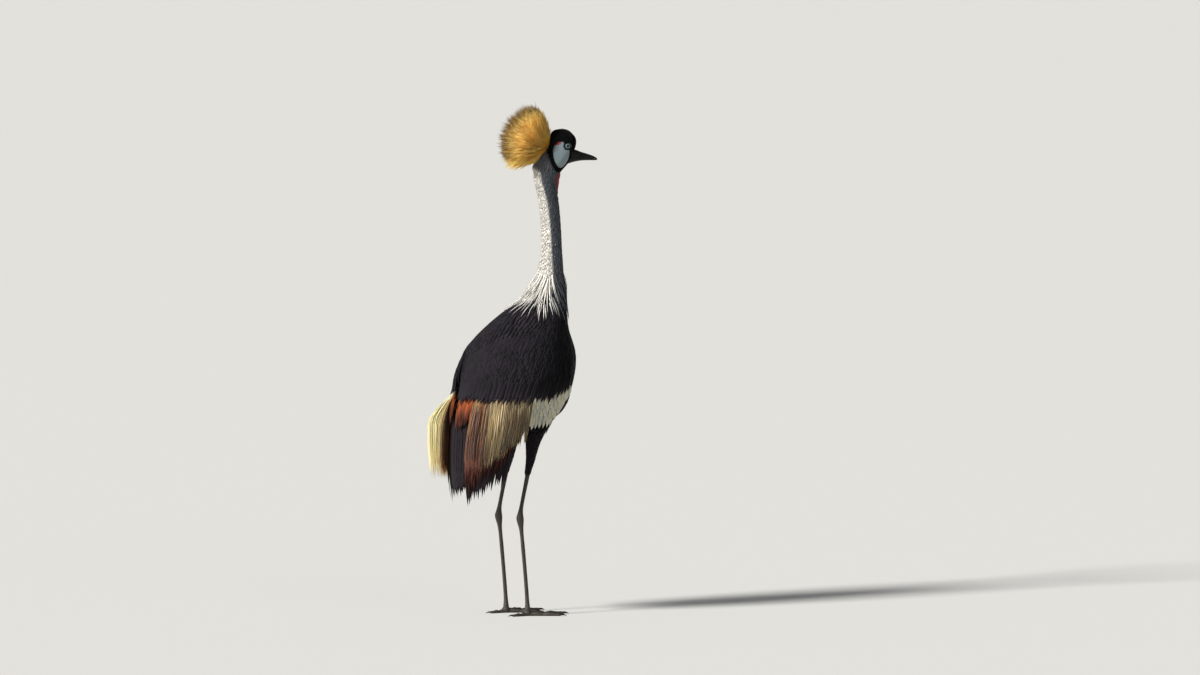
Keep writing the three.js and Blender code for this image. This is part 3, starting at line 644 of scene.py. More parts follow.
def rows_on(table, levels, spacing, aside=0.0, wobble=0.25):
    """Roots in staggered rows round a form, as angles and heights."""
    angles, heights = [], []
    for i, z in enumerate(levels):
        girth = between(table, HALF, z) + (between(table, FORE, z) + between(table, AFT, z)) / 2
        count = max(5, int(math.pi * girth / spacing))
        turn = (np.arange(count) + 0.5 * (i % 2)) / count * FULL_TURN - math.pi
        angles.append(turn + rng.normal(0, wobble / count, count) * 2)
        heights.append(z + rng.normal(0, spacing * wobble * 0.6, count))
    angle = (np.concatenate(angles) + math.pi) % FULL_TURN - math.pi
    z = np.clip(np.concatenate(heights), table[0, 0] + 1, table[-1, 0] - 1)
    return angle, z, on_section(table, angle, z, aside)


def inside(value, span):
    return (value > span[0]) & (value < span[1])


def bake_place(angle, z):
    return np.stack([(angle / FULL_TURN) % 1 * 0.98 + 0.01, np.clip(z / BAKE_TALL, 0.01, 0.99)], -1)


def row_levels(table, low, high, spacing):
    fine = even_levels(table, low, high, 400)
    run = np.hypot(np.diff(fine), np.diff(between(table, AFT, fine)))
    return even_levels(table, low, high, max(2, int(run.sum() / spacing)))


# %% Breast, belly, back and rump feathers
WING_ANGLES, WING_HEIGHTS = np.radians([68, 158]), (470, 545)
BODY_RISE = np.array([-0.5, 2.8, 4.8, 5.7, 6.1, 6.3])
BODY_WIDTHS = np.array([0.2, 0.8, 1.0, 0.95, 0.7, 0])
BODY_PALER = np.array([0, 0, 0.02, 0.07, 0.14, 0.2])
BODY_ROWS, BODY_SPACING = (397, 704, 6.2), 6.8


def body_flow(p):
    back = np.interp(p[:, 2], [560, 700], [0.55, 0.25])
    return np.stack([-back, 0 * back, -np.ones(len(p)) * 0.85], -1)


angle, z, roots = rows_on(BODY, row_levels(BODY, *BODY_ROWS), BODY_SPACING)
under_wing = inside(np.abs(angle), WING_ANGLES) & inside(z, WING_HEIGHTS)
angle, z, roots = angle[~under_wing], z[~under_wing], roots[~under_wing]
back = smooth(np.abs(angle), 0.9, 1.7) * smooth(z, 500, 560)
path, up = comb(roots, body_flow, 36 + 12 * back + rng.normal(0, 2, len(z)), BODY_RISE)
# Away from the back and low on the body, the feathers darken to 0.15 of their colour: painted shade on the
# breast and flanks. The top rows blend halfway into the painted shade of the neck's front.
tint = mixed(SLATE_DEEP, SLATE, rng.random(len(z)) * 0.8) * (0.15 + 0.85 * back)[:, None]
tint = mixed(tint, NECK_FRONT_SHADE, smooth(z, 668, 705) * 0.5)
shades = mixed(tint[:, None], SLATE_LIGHT, np.tile(BODY_PALER, (len(z), 1)))
contour = grow(path, up, np.full(len(z), 5.6), BODY_WIDTHS, bake_place(angle, z), shades,
               thick=0.3, camber=0.04, roll=rng.normal(0, 0.025, len(z)))
coat("body_feathers", feather_look, "slate_plumage", ["torso"], contour)


# %% Thigh feathers
THIGH_RISE = np.array([-0.5, 1.4, 2.9, 4.2, 5.2])
THIGH_WIDTHS = np.array([0.3, 0.9, 1, 0.8, 0])
THIGH_FLOW = np.array([-0.18, 0, -1.0])
THIGH_ROWS, THIGH_SPACING = (309, 452, 6.5), 6.5


def thigh_feathers(side):
    levels = row_levels(THIGH, *THIGH_ROWS)
    angle, z, roots = rows_on(THIGH, levels, THIGH_SPACING, side * LEG_SPREAD)
    rise = np.interp(z, [300, 340, 400], [0.35, 0.55, 0.8])[:, None] * THIGH_RISE
    path, up = comb(roots, THIGH_FLOW, np.interp(z, [300, 340, 420], [11, 18, 30]), rise)
    tint = mixed(SLATE_DEEP, SLATE, rng.random(len(z)) * 0.7)
    return grow(path, up, np.interp(z, [300, 420], [2.6, 6]), THIGH_WIDTHS, bake_place(angle, z), tint,
                camber=0.15, roll=rng.normal(0, 0.05, len(z)))


both = [thigh_feathers(side) for name, side in SIDES]
coat("thigh_feathers", feather_look, "slate_plumage", ["thigh_left", "thigh_right"], *both)

# %% Neck feathers
NECK_RISE = np.array([-0.4, 1.4, 2.6, 3.6, 4.3])
NECK_WIDTHS = np.array([0.4, 1, 1, 0.7, 0])
NECK_FLOW = np.array([-0.06, 0, -1.0])
NECK_ROWS, NECK_SPACING = (694, 1004, 3.1), 3.3

angle, z, roots = rows_on(BODY, np.arange(*NECK_ROWS), NECK_SPACING, wobble=0.4)
keep = black_share(roots) < 0.7
angle, z, roots = angle[keep], z[keep], roots[keep]
length = np.interp(z, [700, 760, 960], [30, 20, 13]) * rng.uniform(0.85, 1.15, len(z))
rise = np.interp(z, [700, 900, 960], [1, 0.9, 0.6])[:, None] * NECK_RISE
path, up = comb(roots, NECK_FLOW, length, rise)
neck = grow(path, up, np.interp(z, [700, 960], [1.9, 1.3]), NECK_WIDTHS, bake_place(angle, z),
            markings_and_painted_shade(roots), thick=0.35, camber=0.2, roll=rng.normal(0, 0.2, len(z)))
coat("neck_feathers", pale_look, "pale_plumage", ["neck_lower", "neck_upper"], neck)

# %% [markdown]
# ## Hackles
# Long narrow feathers fall from the foot of the neck over the dark mantle and breast. They are
# sparse at their ends, so the slate shows between them.

# %% The ruff of hackles
HACKLE_RISE = np.array([1.0, 3.6, 5.0, 7.2, 8.8, 9.4, 9.6])
HACKLE_WIDTHS = np.array([0.3, 0.9, 1, 0.85, 0.6, 0.35, 0])
HACKLE_FADE = (0, 0, 0, 0, 0.05, 0.2, 0.45)
RUFF_TOP = 742
RUFF_ROWS, RUFF_SPACING = (690, RUFF_TOP, 4.2), 7.5

angle, z, roots = rows_on(BODY, np.arange(*RUFF_ROWS), RUFF_SPACING, wobble=0.6)
ahead = forwardness(roots - SHIFT)
# Down and outwards from the neck: back over the mantle, forward over the shoulder.
lean = np.interp(ahead, [-1, -0.5, -0.1, 0.5, 1], [-0.55, -0.25, 0.15, 0.4, 0.2])
length = rng.uniform(46, 88, len(z)) * np.interp(np.abs(angle), [0, 0.8, 2], [0.6, 0.8, 1])
mantle_flow = np.stack([lean, 0 * lean, -np.ones(len(z))], -1)
path, up = comb(roots, mantle_flow, length, HACKLE_RISE)
tint = markings_and_painted_shade(on_section(BODY, angle, RUFF_TOP + 0 * z))
# Forward hackles darken towards slate and the painted shade of the neck's front.
tint = mixed(tint, mixed(SLATE, NECK_FRONT_SHADE, 0.3), smooth(ahead, 0.1, 0.5))
shades = np.stack([mixed(tint, SLATE_LIGHT, share) for share in HACKLE_FADE], 1)
ruff = grow(path, up, rng.uniform(1.3, 2.1, len(z)), HACKLE_WIDTHS, bake_place(angle, z), shades,
            thick=0.4, camber=0.15, roll=rng.normal(0, 0.15, len(z)))
coat("hackles", pale_look, "pale_plumage", ["neck_lower"], ruff)

# %% [markdown]
# ## The folded wings
# Seen from outside, a folded wing is tiers of feathers that hang like a curtain: dark coverts
# over the flank, a white panel at the front, straw plumes of loose barbs, chestnut secondaries
# and the black tips. Each tier is laid over the hanging sections with its own height.

# %% Hanging tiers
BROAD = np.array([0.3, 0.75, 0.95, 1.0, 1.0, 0.97, 0.9, 0.72, 0.42, 0])
ROUND = np.array([0.3, 0.8, 0.97, 1.0, 1.0, 0.98, 0.93, 0.8, 0.55, 0])
BLUNT = np.array([0.3, 0.8, 0.97, 1.0, 1.0, 0.93, 0.84, 0.68, 0.44, 0])


def hang(side, count, span, root, tip, sweep, height, stray, offset=0.5, puff=None):
    """Paths side by side over the hanging form. root, tip and sweep can depend on the share."""
    share = (np.arange(count) + offset + rng.uniform(-0.2, 0.2, count)) / count
    aside, root_off, tip_off = (rng.uniform(-1, 1, count) * most for most in stray)
    angle = np.radians(span[0] + (span[1] - span[0]) * share + aside)
    z0, z1 = value_at(root, share) + root_off, value_at(tip, share) + tip_off
    t = np.linspace(0, 1, len(height))[None]
    swept = np.reshape(np.radians(value_at(sweep, share)), (-1, 1))
    turn = side * (angle[:, None] + swept * t)
    z = z0[:, None] + (z1 - z0)[:, None] * t
    lifted = np.broadcast_to(height, z.shape)
    if puff:
        how_much, starts, full = puff
        lifted = lifted + how_much(share)[:, None] * smooth(t, starts, full)
    out = outward(CURTAIN, turn, z)
    return on_section(CURTAIN, turn, z) + out * lifted[..., None], out, share, bake_place(side * angle, z0)


def rising(start, clear, tip, at=0.2, stations=10):
    return np.interp(np.linspace(0, 1, stations), [0, at, 1], [start, clear, tip])


def banded(base, tip_colour, start, most=1.0, stations=10):
    """Each feather's own colour at its root, shading to another towards its tip."""
    share = most * smooth(np.linspace(0, 1, stations), start, 1.0)
    return mixed(base[:, None], tip_colour, np.broadcast_to(share, (len(base), stations)))


def vanes(side, count, span, root, tip, sweep, height, stray, offset, paint, half, shape, roll):
    """A row of firm feathers. half is a range, and roll a number or a mean and a spread."""
    path, up, share, bake = hang(side, count, span, root, tip, sweep, height, stray, offset)
    widths, thick, camber = shape
    shades = paint(share)
    half = rng.uniform(*half, count)
    roll = side * (rng.normal(*roll, count) if isinstance(roll, tuple) else roll)
    return grow(path, up, half, widths, bake, shades, QUILLED, thick, camber, roll)


# %% Coverts
COVERT_ROWS, WHITE_ROWS = 17, 7
COVERT_TOP, COVERT_LOW = 644, 531
HEM_RISES = {1: 20, -1: 6}
PANEL_SHARES, PANEL_EDGE = [0, 0.13, 0.33, 0.5, 1], [454, 432, 413, 405, 404]


def dark_coverts(side):
    """Rows from the back down to the hem, each lying over the roots of the next."""
    for k in range(COVERT_ROWS):
        down = k / (COVERT_ROWS - 1)
        high = 1.0 + 8.0 * down + 4.5 * down**3

        def root(t):
            return COVERT_TOP + (COVERT_LOW - COVERT_TOP) * down - 62 * (1 - down) * t * t - 6 * t

        def tip(t):
            hem = 50 + 20 * smooth(t, 0, 0.2) - HEM_RISES[side] * smooth(t, 0.5, 0.9)
            return root(t) - (52 + (hem - 52) * down**2)

        def paint(t):
            tint = mixed(SLATE_DEEP, SLATE, rng.random(len(t)) * 0.8)
            # The front of each row darkens to 0.15 of its colour: painted shade at the front of the wing.
            return banded(tint * (0.15 + 0.85 * smooth(t, 0.05, 0.55))[:, None], SLATE_LIGHT, 0.3, 0.2)

        yield vanes(
            side, 29, (46 - 6 * (1 - down), 169), root, tip, 6, rising(down - 2.4, 0.72 * high, high, 0.3),
            (0.8, 2.0, 4.0), 0.25 + 0.5 * (k % 2), paint, (5.4, 6.8), (BLUNT, 0.3, 0.06), (0.05, 0.04),
        )


def white_coverts(side):
    """A panel under the hem, deep at the flank and drawn up to a corner at the front."""
    for k in range(WHITE_ROWS):
        above_hem = (WHITE_ROWS - 1 - k) * 8.2

        def tip(t):
            return np.interp(t, PANEL_SHARES, PANEL_EDGE) + above_hem * smooth(t, -0.3, 0.4)

        yield vanes(
            side, 10, (41, 93), 498 - 4 * k, tip, 3,
            rising(0.5, 8.4 - 0.5 * k, 9.8 - 0.6 * k, 0.36), (0.6, 1.5, 2.0), 0.25 + 0.5 * (k % 2),
            # A greyed white as painted shade, with a little cream at random.
            lambda t: mixed(SHADED_WHITE, CREAM, rng.random(len(t)) * 0.2),
            (6.5, 7.6), (ROUND, 0.4, 0.05), (0.03, 0.02),
        )


# %% Plumes
NEAR_LAYERS, FAR_LAYERS = 8, 12
STRAND = np.array([0.5, 0.8, 0.95, 1, 1, 1, 1, 0.95, 0.9, 0.8, 0.65, 0.5, 0.35, 0])
STRAND_STATIONS = len(STRAND)


def far_strands(layer):
    """The far wing's plumes lean well off it: cream, with chestnut ends to the inner ones."""
    path, up, share, bake = hang(
        1, 120, (91, 155 + 1.1 * layer), 496 - 0.5 * layer,
        lambda t: 384 - 76 * smooth(t, 0, 0.6) - (18 if layer > 8 else 0) + 2 * layer,
        lambda t: 4 - 20 * smooth(t, 0.5, 1), rising(1, 9, 10, 0.14, STRAND_STATIONS),
        (1.6, 4.0, 16.0), puff=(lambda t: (4 + 40 * t**3) * (1 - 0.072 * layer), 0.08, 0.46),
    )
    dusky = mixed(BUFF * 0.8, BUFF * 1.3, rng.random(len(share)))
    tint = mixed(dusky, CREAM, smooth(share, 0.1, 0.4))
    if layer > 9:
        tint = mixed(tint, CHESTNUT, smooth(share, 0.3, 0.7) * rng.uniform(0.4, 1, len(share)))
        return path, up, bake, banded(tint, MAROON, 0.3, 1.0, STRAND_STATIONS)
    return path, up, bake, banded(tint, STRAW, 0.5, 0.25, STRAND_STATIONS)


def near_strands(layer):
    """The near wing's plumes lie closer: brown-grey as painted shade, then a lighter lock as painted light,
    then dusky ones.
    """
    path, up, share, bake = hang(
        -1, 118, (91, 149), 494 - layer, lambda t: 388 - 58 * smooth(t, 0, 0.8) + 5 * layer, 1,
        rising(1, 8.5, 10.5, 0.26, STRAND_STATIONS),
        (1.6, 4.0, 22.0), puff=(lambda t: (4 + 20 * t * t) * (1 - 0.11 * layer), 0.24, 0.7),
    )
    # The brown-grey is painted shade on straw plumes; the lighter lock is painted light.
    painted_light_share = smooth(share, 0.43, 0.49) * (1 - smooth(share, 0.64, 0.7))
    tint = mixed(BUFF * 0.8, BUFF * 1.3, rng.random(len(share)))
    tint = mixed(tint, PAINTED_LIGHT_LOCK, painted_light_share * rng.uniform(0.75, 1, len(share)))
    dusky = rng.random(len(share)) < 0.14 * (1 - painted_light_share) + 0.85 * smooth(share, 0.68, 0.82)
    browner = mixed(tint, mixed(CHESTNUT, MAROON, rng.uniform(0.2, 1, len(share))), 0.85)
    ends = mixed(BUFF * 0.35, MAROON * 0.6, smooth(share, 0.4, 0.8))[:, None]
    return path, up, bake, banded(np.where(dusky[:, None], browner, tint), ends, 0.15, 0.85, STRAND_STATIONS)


def straw_plumes(side):
    layers, strands = (FAR_LAYERS, far_strands) if side > 0 else (NEAR_LAYERS, near_strands)
    for layer in range(layers):
        path, up, bake, shades = strands(layer)
        half = rng.uniform(0.8, 1.7, len(path))
        yield grow(path, up, half, STRAND, bake, shades, thick=0.4, roll=rng.normal(0, 0.5, len(path)))


# %% Flight feathers, and every tier of both wings
def secondaries(side):
    for layer in range(3):
        yield vanes(
            side, 24, (95, 172), 478 - 4 * layer,
            lambda t: np.where(t < 0.72, 350 - 83 * t / 0.72, 432 - 15 * t) + 26 - 13 * layer, 3,
            rising(1, 6.6 - 0.6 * layer, 6.2 - 0.8 * layer), (0.8, 2.0, 20.0), 0.25 + 0.25 * layer,
            lambda t: banded(mixed(CHESTNUT, MAROON, rng.random(len(t)) * 0.5), MAROON * 0.4, 0.2),
            (4, 5.5), (BROAD, 0.6, 0.08), (0.09, 0.03),
        )


def all_black(share):
    return np.tile(BLACK, (len(share), 1))


def primaries(side):
    yield vanes(
        side, 18, (100, 150), 445, lambda t: 290 - 44 * t, 4, rising(-1, 1.8, 2.2),
        (0.6, 2.0, 8.0), 0.5, all_black, (5.5, 6.5), (BROAD, 0.6, 0.06), (0.05, 0.02),
    )


TIERS = (
    ("dark_coverts", dark_coverts, feather_look, "slate_plumage", "wing"),
    ("white_coverts", white_coverts, white_look, "white_plumage", "coverts"),
    ("straw_plumes", straw_plumes, straw_look, "straw_plumage", "plumes"),
    ("chestnut_secondaries", secondaries, chestnut_look, "chestnut_plumage", "secondaries"),
    ("black_primaries", primaries, black_look, "black_plumage", "primaries"),
)
for name, side in SIDES:
    for tier, batches, look, slot, node in TIERS:
        coat(f"{tier}_{name}", look, slot, [f"{node}_{name}"], *batches(side))

# %% The tail
tail = vanes(
    1, 28, (156, 204), 442, lambda t: 262 + 14 * np.abs(t - 0.5), 0,
    rising(-9, -2.6, -3.4, 0.15), (0.6, 2.0, 8.0), 0.5, all_black, (5, 7), (BROAD, 0.6, 0.06), 0.08,
)
coat("tail_vanes", black_look, "black_plumage", ["tail"], tail)

# %% [markdown]
# ## The head
# The black of the head is so short and dense that it looks like velvet. Small tufts are set
# close all over it, and they leave the bare cheek, the eye and the root of the bill free.

# %% Velvet of the head
EYE_CLEAR = 9.0
NAP_ROWS, NAP_SPACING = (940, 1040.4, 1.35), 1.5
BILL_ROOT_X, BILL_ROOT_HEIGHTS = 120.5, (969, 995)


def head_turned(p):
    """A direction or an offset of the straight head, turned as the head is."""
    c, s = math.cos(HEAD_TURN), math.sin(HEAD_TURN)
    return np.stack([p[..., 0] * c - p[..., 1] * s, p[..., 0] * s + p[..., 1] * c, p[..., 2]], -1)


def head_flow(p):
    """Back over the crown, down the face, and up over the brow."""
    q = straight(p)
    crown = smooth(q[:, 2], 985, 1015)
    brow = smooth(forwardness(q), 0.3, 0.8) * smooth(q[:, 2], 990, 1002)
    return head_turned(np.stack([-0.5 - 0.5 * crown, 0 * crown, -1 + 0.95 * crown + 1.6 * brow], -1))


angle, z, roots = rows_on(BODY, row_levels(BODY, *NAP_ROWS), NAP_SPACING, wobble=0.5)
q = straight(roots)
off_eye = np.min([np.linalg.norm(roots - centre, axis=1) for centre in eye_centres.values()], 0) > EYE_CLEAR
in_bill = (q[:, 0] > BILL_ROOT_X) & (q[:, 2] > BILL_ROOT_HEIGHTS[0]) & (q[:, 2] < BILL_ROOT_HEIGHTS[1])
in_cheek = (cheek_share(q, -1.0) > 0) & (np.abs(q[:, 1]) > 8)
keep = (black_share(roots) > 0.3) & ~in_cheek & off_eye & ~in_bill
angle, z, roots = angle[keep], z[keep], roots[keep]
crown = smooth(z, 1005, 1020)
rise = (1 + 0.5 * crown)[:, None] * np.array([-0.4, 0.9, 1.7, 2.2])
path, up = comb(roots, head_flow, 4.2 + 2.4 * crown, rise)
nap = grow(path, up, rng.uniform(0.6, 0.85, len(z)), np.array([0.8, 1, 0.8, 0]), bake_place(angle, z),
           markings_and_painted_shade(roots), cross=ROD, roll=rng.normal(0, 0.4, len(z)))
coat("velvet_nap", velvet_look, "velvet", ["head", "cap"], nap)

# %% [markdown]
# ## Crest
# The crown of stiff gold bristles is a fan of four thousand fine rods from one pad on the hind
# crown. A golden-angle spiral spreads their directions evenly, and each rod is shorter the
# further it leans out, which gives the round outline. The tips along the hind rim are dark.

# %% The crest of bristles
CREST_ROOT = np.array([74.0, 0, 1000.5])
CREST_LIFT, CREST_SPREAD, CREST_ASIDE = np.radians([25, 66, 48])
CREST_LENGTH, CREST_PAD = 111, 3
BRISTLES = 4000
BRISTLE_WIDTHS = np.array([0.6, 0.7, 0.8, 0.9, 1, 1, 0.8, 0])
LEFTWARD = np.array([0, 1.0, 0])

number = np.arange(BRISTLES)
out_share = np.sqrt((number + 0.5) / BRISTLES)
spiral = number * math.pi * (3 - math.sqrt(5)) + rng.normal(0, 0.2, BRISTLES)
tall = CREST_SPREAD * out_share * np.sin(spiral)
wide = CREST_ASIDE * out_share * np.cos(spiral)
tall_degrees, wide_degrees = np.degrees(tall), np.abs(np.degrees(wide))
axis = np.array([-math.cos(CREST_LIFT), 0, math.sin(CREST_LIFT)])
upward = np.array([math.sin(CREST_LIFT), 0, math.cos(CREST_LIFT)])
way = axis * np.cos(tall)[:, None] + upward * np.sin(tall)[:, None]
way = unit(way * np.cos(wide)[:, None] + LEFTWARD * np.sin(wide)[:, None])
long = CREST_LENGTH * (1 - 0.2 * out_share**2) * (1 - 0.5 * smooth(out_share, 0.78, 1))
long = long * (1 - 0.22 * smooth(tall_degrees, 38, 62))
long = long * np.clip(rng.normal(1, 0.028, BRISTLES), 0.93, 1.05)
t = np.array([0, 0.2, 0.4, 0.6, 0.75, 0.86, 0.93, 1])
reach = (CREST_PAD + (long[:, None] - CREST_PAD) * t)[..., None] * way[:, None]
bow = rng.normal(0, 3.0, (BRISTLES, 1, 3)) * (t * t)[None, :, None]
path = head_point(*CREST_ROOT) + head_turned(reach + bow)
up = np.broadcast_to(head_turned(unit(np.cross(way, [0, 1.0, 0.2])))[:, None], path.shape)
rim = smooth(tall_degrees, -50, -36) * (1 - smooth(tall_degrees, 46, 62))
rim = rim * (1 - 0.9 * smooth(wide_degrees, 10, 30))
base = mixed(GOLD, GOLD_DEEP, rng.random(BRISTLES) * 0.8)
shades = mixed(base[:, None], GOLD_PALE, smooth(t, 0.4, 0.85)[None] * rng.uniform(0.3, 1, (BRISTLES, 1)))
shades = mixed(shades, BRISTLE_TIP, smooth(t, 0.76, 0.9)[None] * rim[:, None])
rods = grow(path, up, rng.uniform(0.3, 0.52, BRISTLES), BRISTLE_WIDTHS,
            bake_place(spiral, 1000 + 60 * np.sin(tall)), shades, cross=ROD, roll=rng.uniform(0, 2, BRISTLES))
coat("crest_bristles", gold_look, "gold_bristle", ["crest"], rods)

# %% [markdown]
# ## Wrapped sheets
# The bill, the toes and the claws are all rods of changing section. Each is made from a grid
# sheet that is wrapped round its own middle line: one way along the sheet is along the rod and
# the other way is round it. The seam and the two ends are then merged by distance.

# %% A sheet wrapped to a closed rod
OUTWARD = (bpy.ops.mesh.normals_make_consistent, {"inside": False})
MERGED = (bpy.ops.mesh.remove_doubles, {"threshold": 0.02 * MM})
FLIPPED = (bpy.ops.mesh.flip_normals, {})


def edited(*operators):
    """Mesh operators on the whole of the active piece."""
    bpy.ops.object.mode_set(mode="EDIT")
    bpy.ops.mesh.select_all(action="SELECT")
    for operator, settings in operators:
        operator(**settings)
    bpy.ops.object.mode_set(mode="OBJECT")
    bpy.ops.object.shade_smooth()


def sheet(name, along, around):
    grid = bpy.ops.mesh.primitive_grid_add
    return added(name, grid, x_subdivisions=along, y_subdivisions=around, size=2)


def wrapped(name, along, around, place):
    rod = sheet(name, along, around)
    share = (read(rod) + 1) / 2
    write(rod, place(share[:, 0], share[:, 1] * FULL_TURN))
    edited(MERGED, OUTWARD)
    return rod


def closing(s):
    """Nought at both ends of a rod and one between, so that its ends close to a point."""
    return np.where((s < 1e-4) | (s > 1 - 1e-4), 0.0, 1.0)


# %% [markdown]
# ## Bill
# Both halves of the bill share the mouth line, with a hair's breadth between them. The nostrils
# are two blind slots in the upper half, each in a shallow groove.

# %% The bill
MOUTH_GAP = 0.3
BILL_FROM, BILL_TO = 109, 178.4
NOSTRIL = {"x": 142, "y": 6.6, "z": 986, "size": (3.4, 2.6, 1.1)}
GROOVE = {"ahead": 3, "long": 10, "tall": 2.4, "deep": 0.22}


def mandible(name, edge, sign):
    def place(s, around):
        x = BILL_FROM + (BILL_TO - BILL_FROM) * np.clip(s * 1.02 - 0.01, 0, 1)
        at = np.clip(x, BILL[0, 0], BILL[-1, 0])
        line = between(BILL, MOUTH, at) + sign * MOUTH_GAP / 2 * (1 - 0.8 * smooth(x, 150, 176))
        upper = np.sin(around)
        high = (between(BILL, edge, at) - line) * closing(s)
        z = line + np.where(upper > 0, high * np.abs(upper) ** 0.85, 0.0)
        y = np.cos(around) * between(BILL, HALF, at) * closing(s)
        if sign > 0:
            beside = ((x - NOSTRIL["x"] - GROOVE["ahead"]) / GROOVE["long"]) ** 2
            y = y * (1 - GROOVE["deep"] * np.exp(-beside - ((z - NOSTRIL["z"]) / GROOVE["tall"]) ** 2))
        return turned(np.stack([x, y, z], -1)) + SHIFT

    return wrapped(name, 64, 40, place)


horn_look, tree, shader = new_look("bill_horn", Roughness=0.5, Specular_IOR_Level=0.22)
fine = grain(tree, 1.0, 4.0, (120, 120, 420))
show_ramp(tree, shader, fine, (0, (7, 6, 6)), (1, (20, 18, 16)))
raise_by(tree, shader, fine, 0.25, 0.0004)

upper = mandible("bill_upper_horn", RIDGE, 1)
for name, side in SIDES:
    slot_tool = ball("nostril", 24, 12)
    middle_point = head_point(NOSTRIL["x"], side * NOSTRIL["y"], NOSTRIL["z"])
    write(slot_tool, head_turned(read(slot_tool) * NOSTRIL["size"]) + middle_point)
    combine(upper, slot_tool, "DIFFERENCE")
finish_piece(upper, horn_look, "horn", ["bill_upper"])
finish_piece(mandible("bill_lower_horn", KEEL, -1), horn_look, "horn", ["bill_lower"])

# %% [markdown]
# ## Eyes and lids
# The eye is a ball deep in its socket with a pale iris. Rings of colour are measured from the
# ball's own outward axis, so the pupil looks straight out of the head. The lids are one ring
# with a corner before and behind the eye.

# %% Eyes
IRIS_RINGS = (
    (0.42, (6, 6, 8)), (0.46, (70, 92, 98)), (0.58, (112, 136, 140)),
    (0.7, (80, 100, 106)), (0.76, (16, 16, 20)),
)
CORNEA = 0.5
LID = {"major": 6.3, "minor": 1.25, "out": 4.3}


def eye_look(name, centre, axis):
    look, tree, shader = new_look(name, Roughness=0.08, Specular_IOR_Level=0.4, Coat_Weight=0.15)
    place = step(tree, "TexCoord").outputs["Object"]
    off = step(tree, "VectorMath", place, tuple(centre * MM), operation="SUBTRACT").outputs[0]
    cross = step(tree, "VectorMath", off, tuple(axis), operation="CROSS_PRODUCT").outputs[0]
    radial = step(tree, "VectorMath", cross, operation="LENGTH").outputs["Value"]
    threads = step(tree, "TexNoise", off, None, 900.0, 3.0).outputs[0]
    radial = sums(tree, "ADD", radial, sums(tree, "MULTIPLY_ADD", threads, 0.0006, -0.0003))
    show_ramp(tree, shader, ranged(tree, radial, 0.0, EYE["radius"] * MM, 0.0, 1.0), *IRIS_RINGS)
    return look


lid_look, tree, shader = new_look("lid_skin", Roughness=0.55, Base_Color=(*colour(30, 29, 32), 1))
raise_by(tree, shader, mottle(tree, 900.0, 0.0, 1.0), 0.6, 0.0003)
forward = head_turned(np.array([1.0, 0, 0]))
for name, side in SIDES:
    axis, centre = -side * head_right, eye_centres[name]
    eye = ball(f"eyeball_{name}", 48, 32)
    co = read(eye)
    bulge = CORNEA * smooth(np.clip(co @ axis, 0, 1), 0.75, 1.0)
    write(eye, co * (EYE["radius"] + bulge)[:, None] + centre)
    bpy.ops.object.shade_smooth()
    finish_piece(eye, eye_look(f"iris_{name}", centre, axis), "eye", [f"eye_{name}"])

    lid = added(
        f"lids_{name}", bpy.ops.mesh.primitive_torus_add, major_segments=56, minor_segments=14,
        major_radius=LID["major"], minor_radius=LID["minor"],
    )
    x, y, z = read(lid).T
    wrinkle = 1 + 0.06 * np.sin(np.arctan2(y, x) * 22)
    ahead = x * (1 + 0.1 * np.abs(x / LID["major"]) ** 3)
    out = z * wrinkle + LID["out"] - 0.12 * np.abs(x)
    write(lid, np.outer(ahead, forward) + np.outer(y * 0.92, [0, 0, 1.0]) + np.outer(out, axis) + centre)
    edited(OUTWARD)
    finish_piece(lid, lid_look, "velvet", [])

# %% [markdown]
# ## Cheeks
# The cheek is bare pale skin, egg shaped, with a red patch at its upper edge. A grid is drawn
# into a disc, laid on the side of the head, raised in its middle and sunk at its rim, so that
# the velvet closes over the edge. Solidify gives it a back.

# %% Bare cheeks
CHEEK_WALL = 1.2
RED_SPOT = {"x": 84, "z": 1014, "half": 11, "tall": 6}
cheek_look, tree, shader = new_look(
    "cheek_skin", Roughness=0.5, Subsurface_Weight=0.15, Subsurface_Scale=0.002,
)
wrinkles = grain(tree, 1.0, 5.0, (900, 900, 350))
red = step(tree, "Attribute", attribute_name="red").outputs["Fac"]
red = sums(tree, "ADD", red, ranged(tree, wrinkles, 0.3, 0.7, -0.22, 0.22))
# The cheek's pale skin is greyed blue as painted shade; the red patch is its own colour.
show_ramp(tree, shader, red, (0.38, (114, 127, 130)), (0.62, (122, 18, 24)))
raise_by(tree, shader, wrinkles, 0.7, 0.0016)


def half_width(x, z):
    off = x - between(BODY, MID, z)
    reach = np.where(off > 0, between(BODY, FORE, z), between(BODY, AFT, z))
    return between(BODY, HALF, z) * np.sqrt(1 - np.clip(off / reach, -0.999, 0.999) ** 2)


def side_of_head(x, z, side):
    """A point of the straight head's side at a place seen from the side, with its way out."""
    slope_x = half_width(x + 0.5, z) - half_width(x - 0.5, z)
    slope_z = half_width(x, z + 0.5) - half_width(x, z - 0.5)
    flip = np.array([1, side, 1])
    out = unit(np.stack([-slope_x, np.ones_like(x), -slope_z], -1))
    return np.stack([x, half_width(x, z), z], -1) * flip, out * flip


